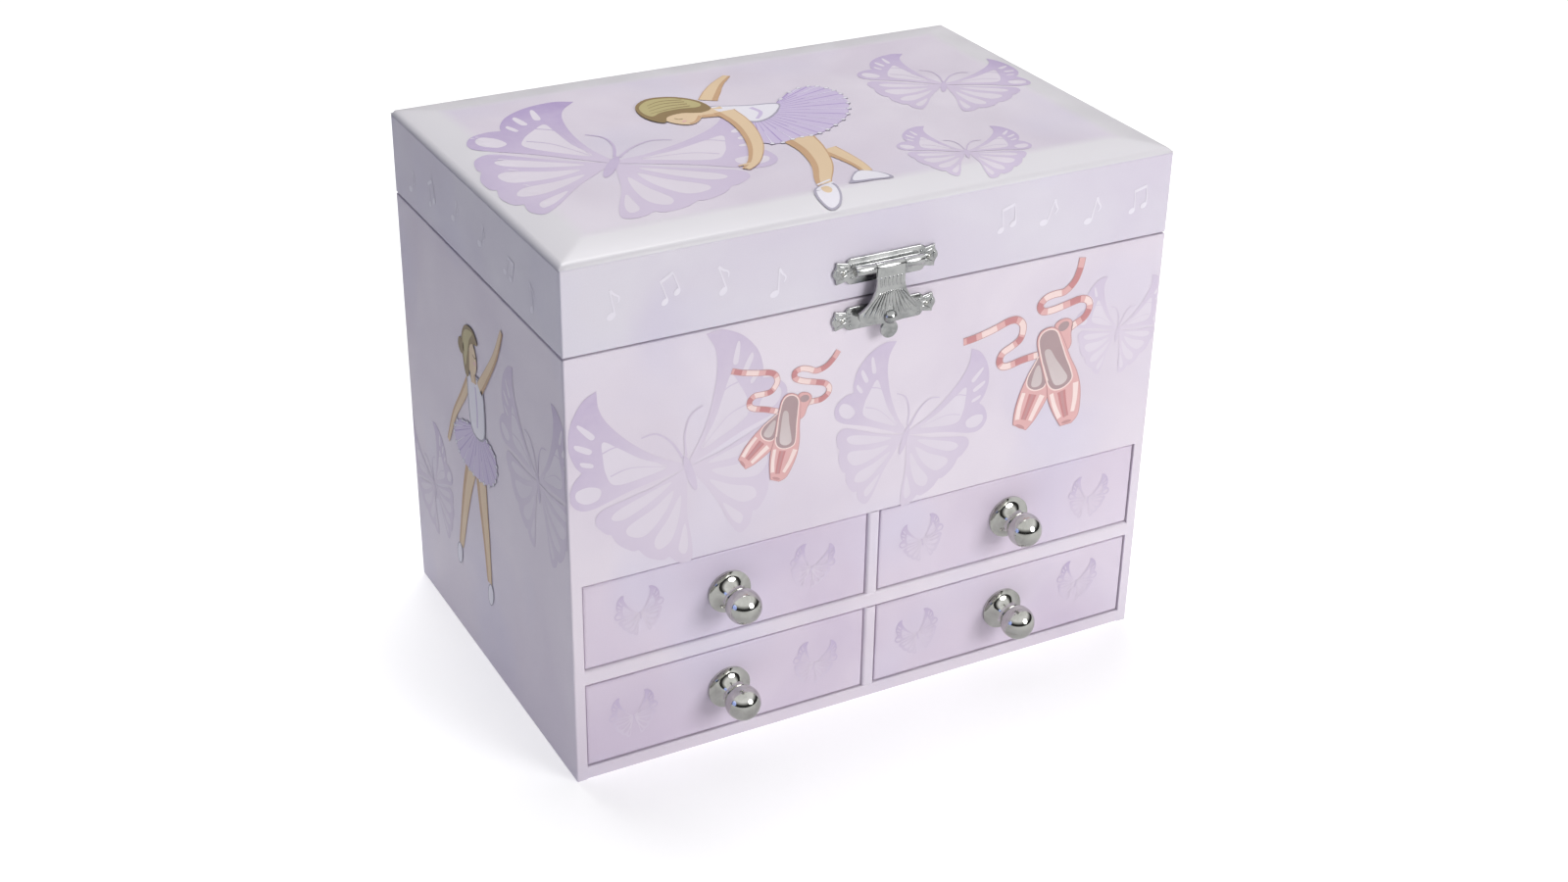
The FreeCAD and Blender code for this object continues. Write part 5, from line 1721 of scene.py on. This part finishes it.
# %% [markdown]
# ## Floor, light and camera
#
# The box stands on a plain white sweep in an even studio light. The key light
# comes from the front right, so the front is brightest and the left side is in
# soft shade. Metal needs something darker to mirror, so only reflections see a
# grey band in the surroundings.

# %% The floor
# From one x to another the light that the floor gives back grows between two
# shares. FLOOR_IN_METAL is its share in polished parts and FLOOR_GLOW its glow.
FLOOR_SHADE = (-0.45, -0.05, 0.48, 1.0)
FLOOR_IN_METAL, FLOOR_GLOW = 0.58, 0.5


def make_floor():
    """A very wide pale floor under the box."""
    pick(None)
    bpy.ops.mesh.primitive_grid_add(x_subdivisions=8, y_subdivisions=8, size=24,
                                    location=(0, 0, -0.2 * MM))
    obj = bpy.context.object
    obj.name = "studio_floor"
    made, tree, shader, where = start_material("studio_white")
    split = node(tree, "SeparateXYZ")
    tree.links.new(where, split.inputs[0])
    bounce = spread(tree, split.outputs[0], *FLOOR_SHADE)
    sight = node(tree, "LightPath")
    mirrored = maths(tree, "MULTIPLY", sight.outputs["Is Glossy Ray"],
                     FLOOR_IN_METAL)
    unseen = maths(tree, "SUBTRACT", 1.0, sight.outputs["Is Glossy Ray"])
    light = maths(tree, "ADD", mirrored, maths(tree, "MULTIPLY", unseen, bounce))
    light = maths(tree, "MAXIMUM", light, sight.outputs["Is Camera Ray"])
    shade = spread(tree, noise(tree, where, 3, 2), 0, 1, 0.86, 0.88)
    tone = node(tree, "CombineColor")
    for channel in range(3):
        tree.links.new(maths(tree, "MULTIPLY", shade, light), tone.inputs[channel])
    tree.links.new(tone.outputs[0], shader.inputs["Base Color"])
    shader.inputs["Roughness"].default_value = 0.9
    shader.inputs["Emission Color"].default_value = (1, 1, 1, 1)
    tree.links.new(maths(tree, "MULTIPLY", light, FLOOR_GLOW),
                   shader.inputs["Emission Strength"])
    obj.data.materials.append(made)


make_floor()

# %% Studio light
AIM = Vector((0, 0, 0.09))


def soft_light(name, place, size, power, colour=(1, 1, 1)):
    """An area light that looks at the middle of the box."""
    light = bpy.data.lights.new(name, "AREA")
    light.shape, light.size, light.energy, light.color = "DISK", size, power, colour
    obj = new_object(name, light)
    obj.location = place
    obj.rotation_euler = (AIM - Vector(place)).to_track_quat("-Z", "Y").to_euler()


soft_light("key_front_right", (0.75, -1.5, 0.75), 0.9, 16.5)
soft_light("top_softbox", (0.1, 0.5, 1.5), 1.0, 17)
soft_light("left_fill", (-1.6, -0.2, 0.35), 0.8, 2.0, (0.4, 0.5, 1.0))


def studio_world():
    """White surroundings, with a grey band that only reflections see."""
    world = bpy.data.worlds.new("studio")
    bpy.context.scene.world = world
    world.use_nodes = True
    tree = world.node_tree
    back = tree.nodes["Background"]
    mirror_side = node(tree, "Background")
    split = node(tree, "SeparateXYZ")
    tree.links.new(node(tree, "TexCoord").outputs["Generated"], split.inputs[0])
    tree.links.new(spread(tree, split.outputs[0], -0.9, 0.5, 0.16, 1.95),
                   back.inputs["Strength"])
    ramp = node(tree, "ValToRGB")
    tree.links.new(spread(tree, split.outputs[2], -0.2, 1.0), ramp.inputs[0])
    marks = ramp.color_ramp.elements
    marks[0].position, marks[0].color = 0.0, (0.25, 0.25, 0.24, 1)
    marks[1].position, marks[1].color = 1.0, (0.85, 0.85, 0.85, 1)
    for position, grey in ((0.14, 0.03), (0.36, 0.04), (0.50, 0.5), (0.64, 1.0)):
        mark = marks.new(position)
        mark.color = (grey, grey, grey, 1)
    tree.links.new(ramp.outputs[0], mirror_side.inputs["Color"])
    sight = node(tree, "LightPath")
    sky = node(tree, "Background", {"Color": (1, 1, 1, 1), "Strength": 1.2})
    gloss = node(tree, "MixShader")
    feed(tree, gloss, {
        0: sight.outputs["Is Glossy Ray"],
        1: back.outputs[0],
        2: mirror_side.outputs[0]})
    seen = node(tree, "MixShader")
    feed(tree, seen, {
        0: sight.outputs["Is Camera Ray"],
        1: gloss.outputs[0],
        2: sky.outputs[0]})
    tree.links.new(seen.outputs[0], tree.nodes["World Output"].inputs["Surface"])


studio_world()
bpy.context.scene.view_settings.view_transform = "Standard"

# %% The camera
def place_camera():
    """Looks down on the front left corner."""
    data = bpy.data.cameras.new("studio_camera")
    data.sensor_width, data.lens = 36, 51.14
    obj = bpy.data.objects.new("studio_camera", data)
    bpy.context.scene.collection.objects.link(obj)
    forward = Vector((0.4193, 0.7730, -0.4760)).normalized()
    right = Vector((0.8828, -0.4695, 0.0153))
    right = (right - forward * right.dot(forward)).normalized()
    up = right.cross(forward)
    turn = Matrix((right, up, -forward)).transposed().to_4x4()
    obj.matrix_world = Matrix.Translation((-0.3408, -0.6375, 0.4585)) @ turn
    bpy.context.scene.camera = obj
    return obj


camera = place_camera()
print("camera at", [round(value, 3) for value in camera.location])
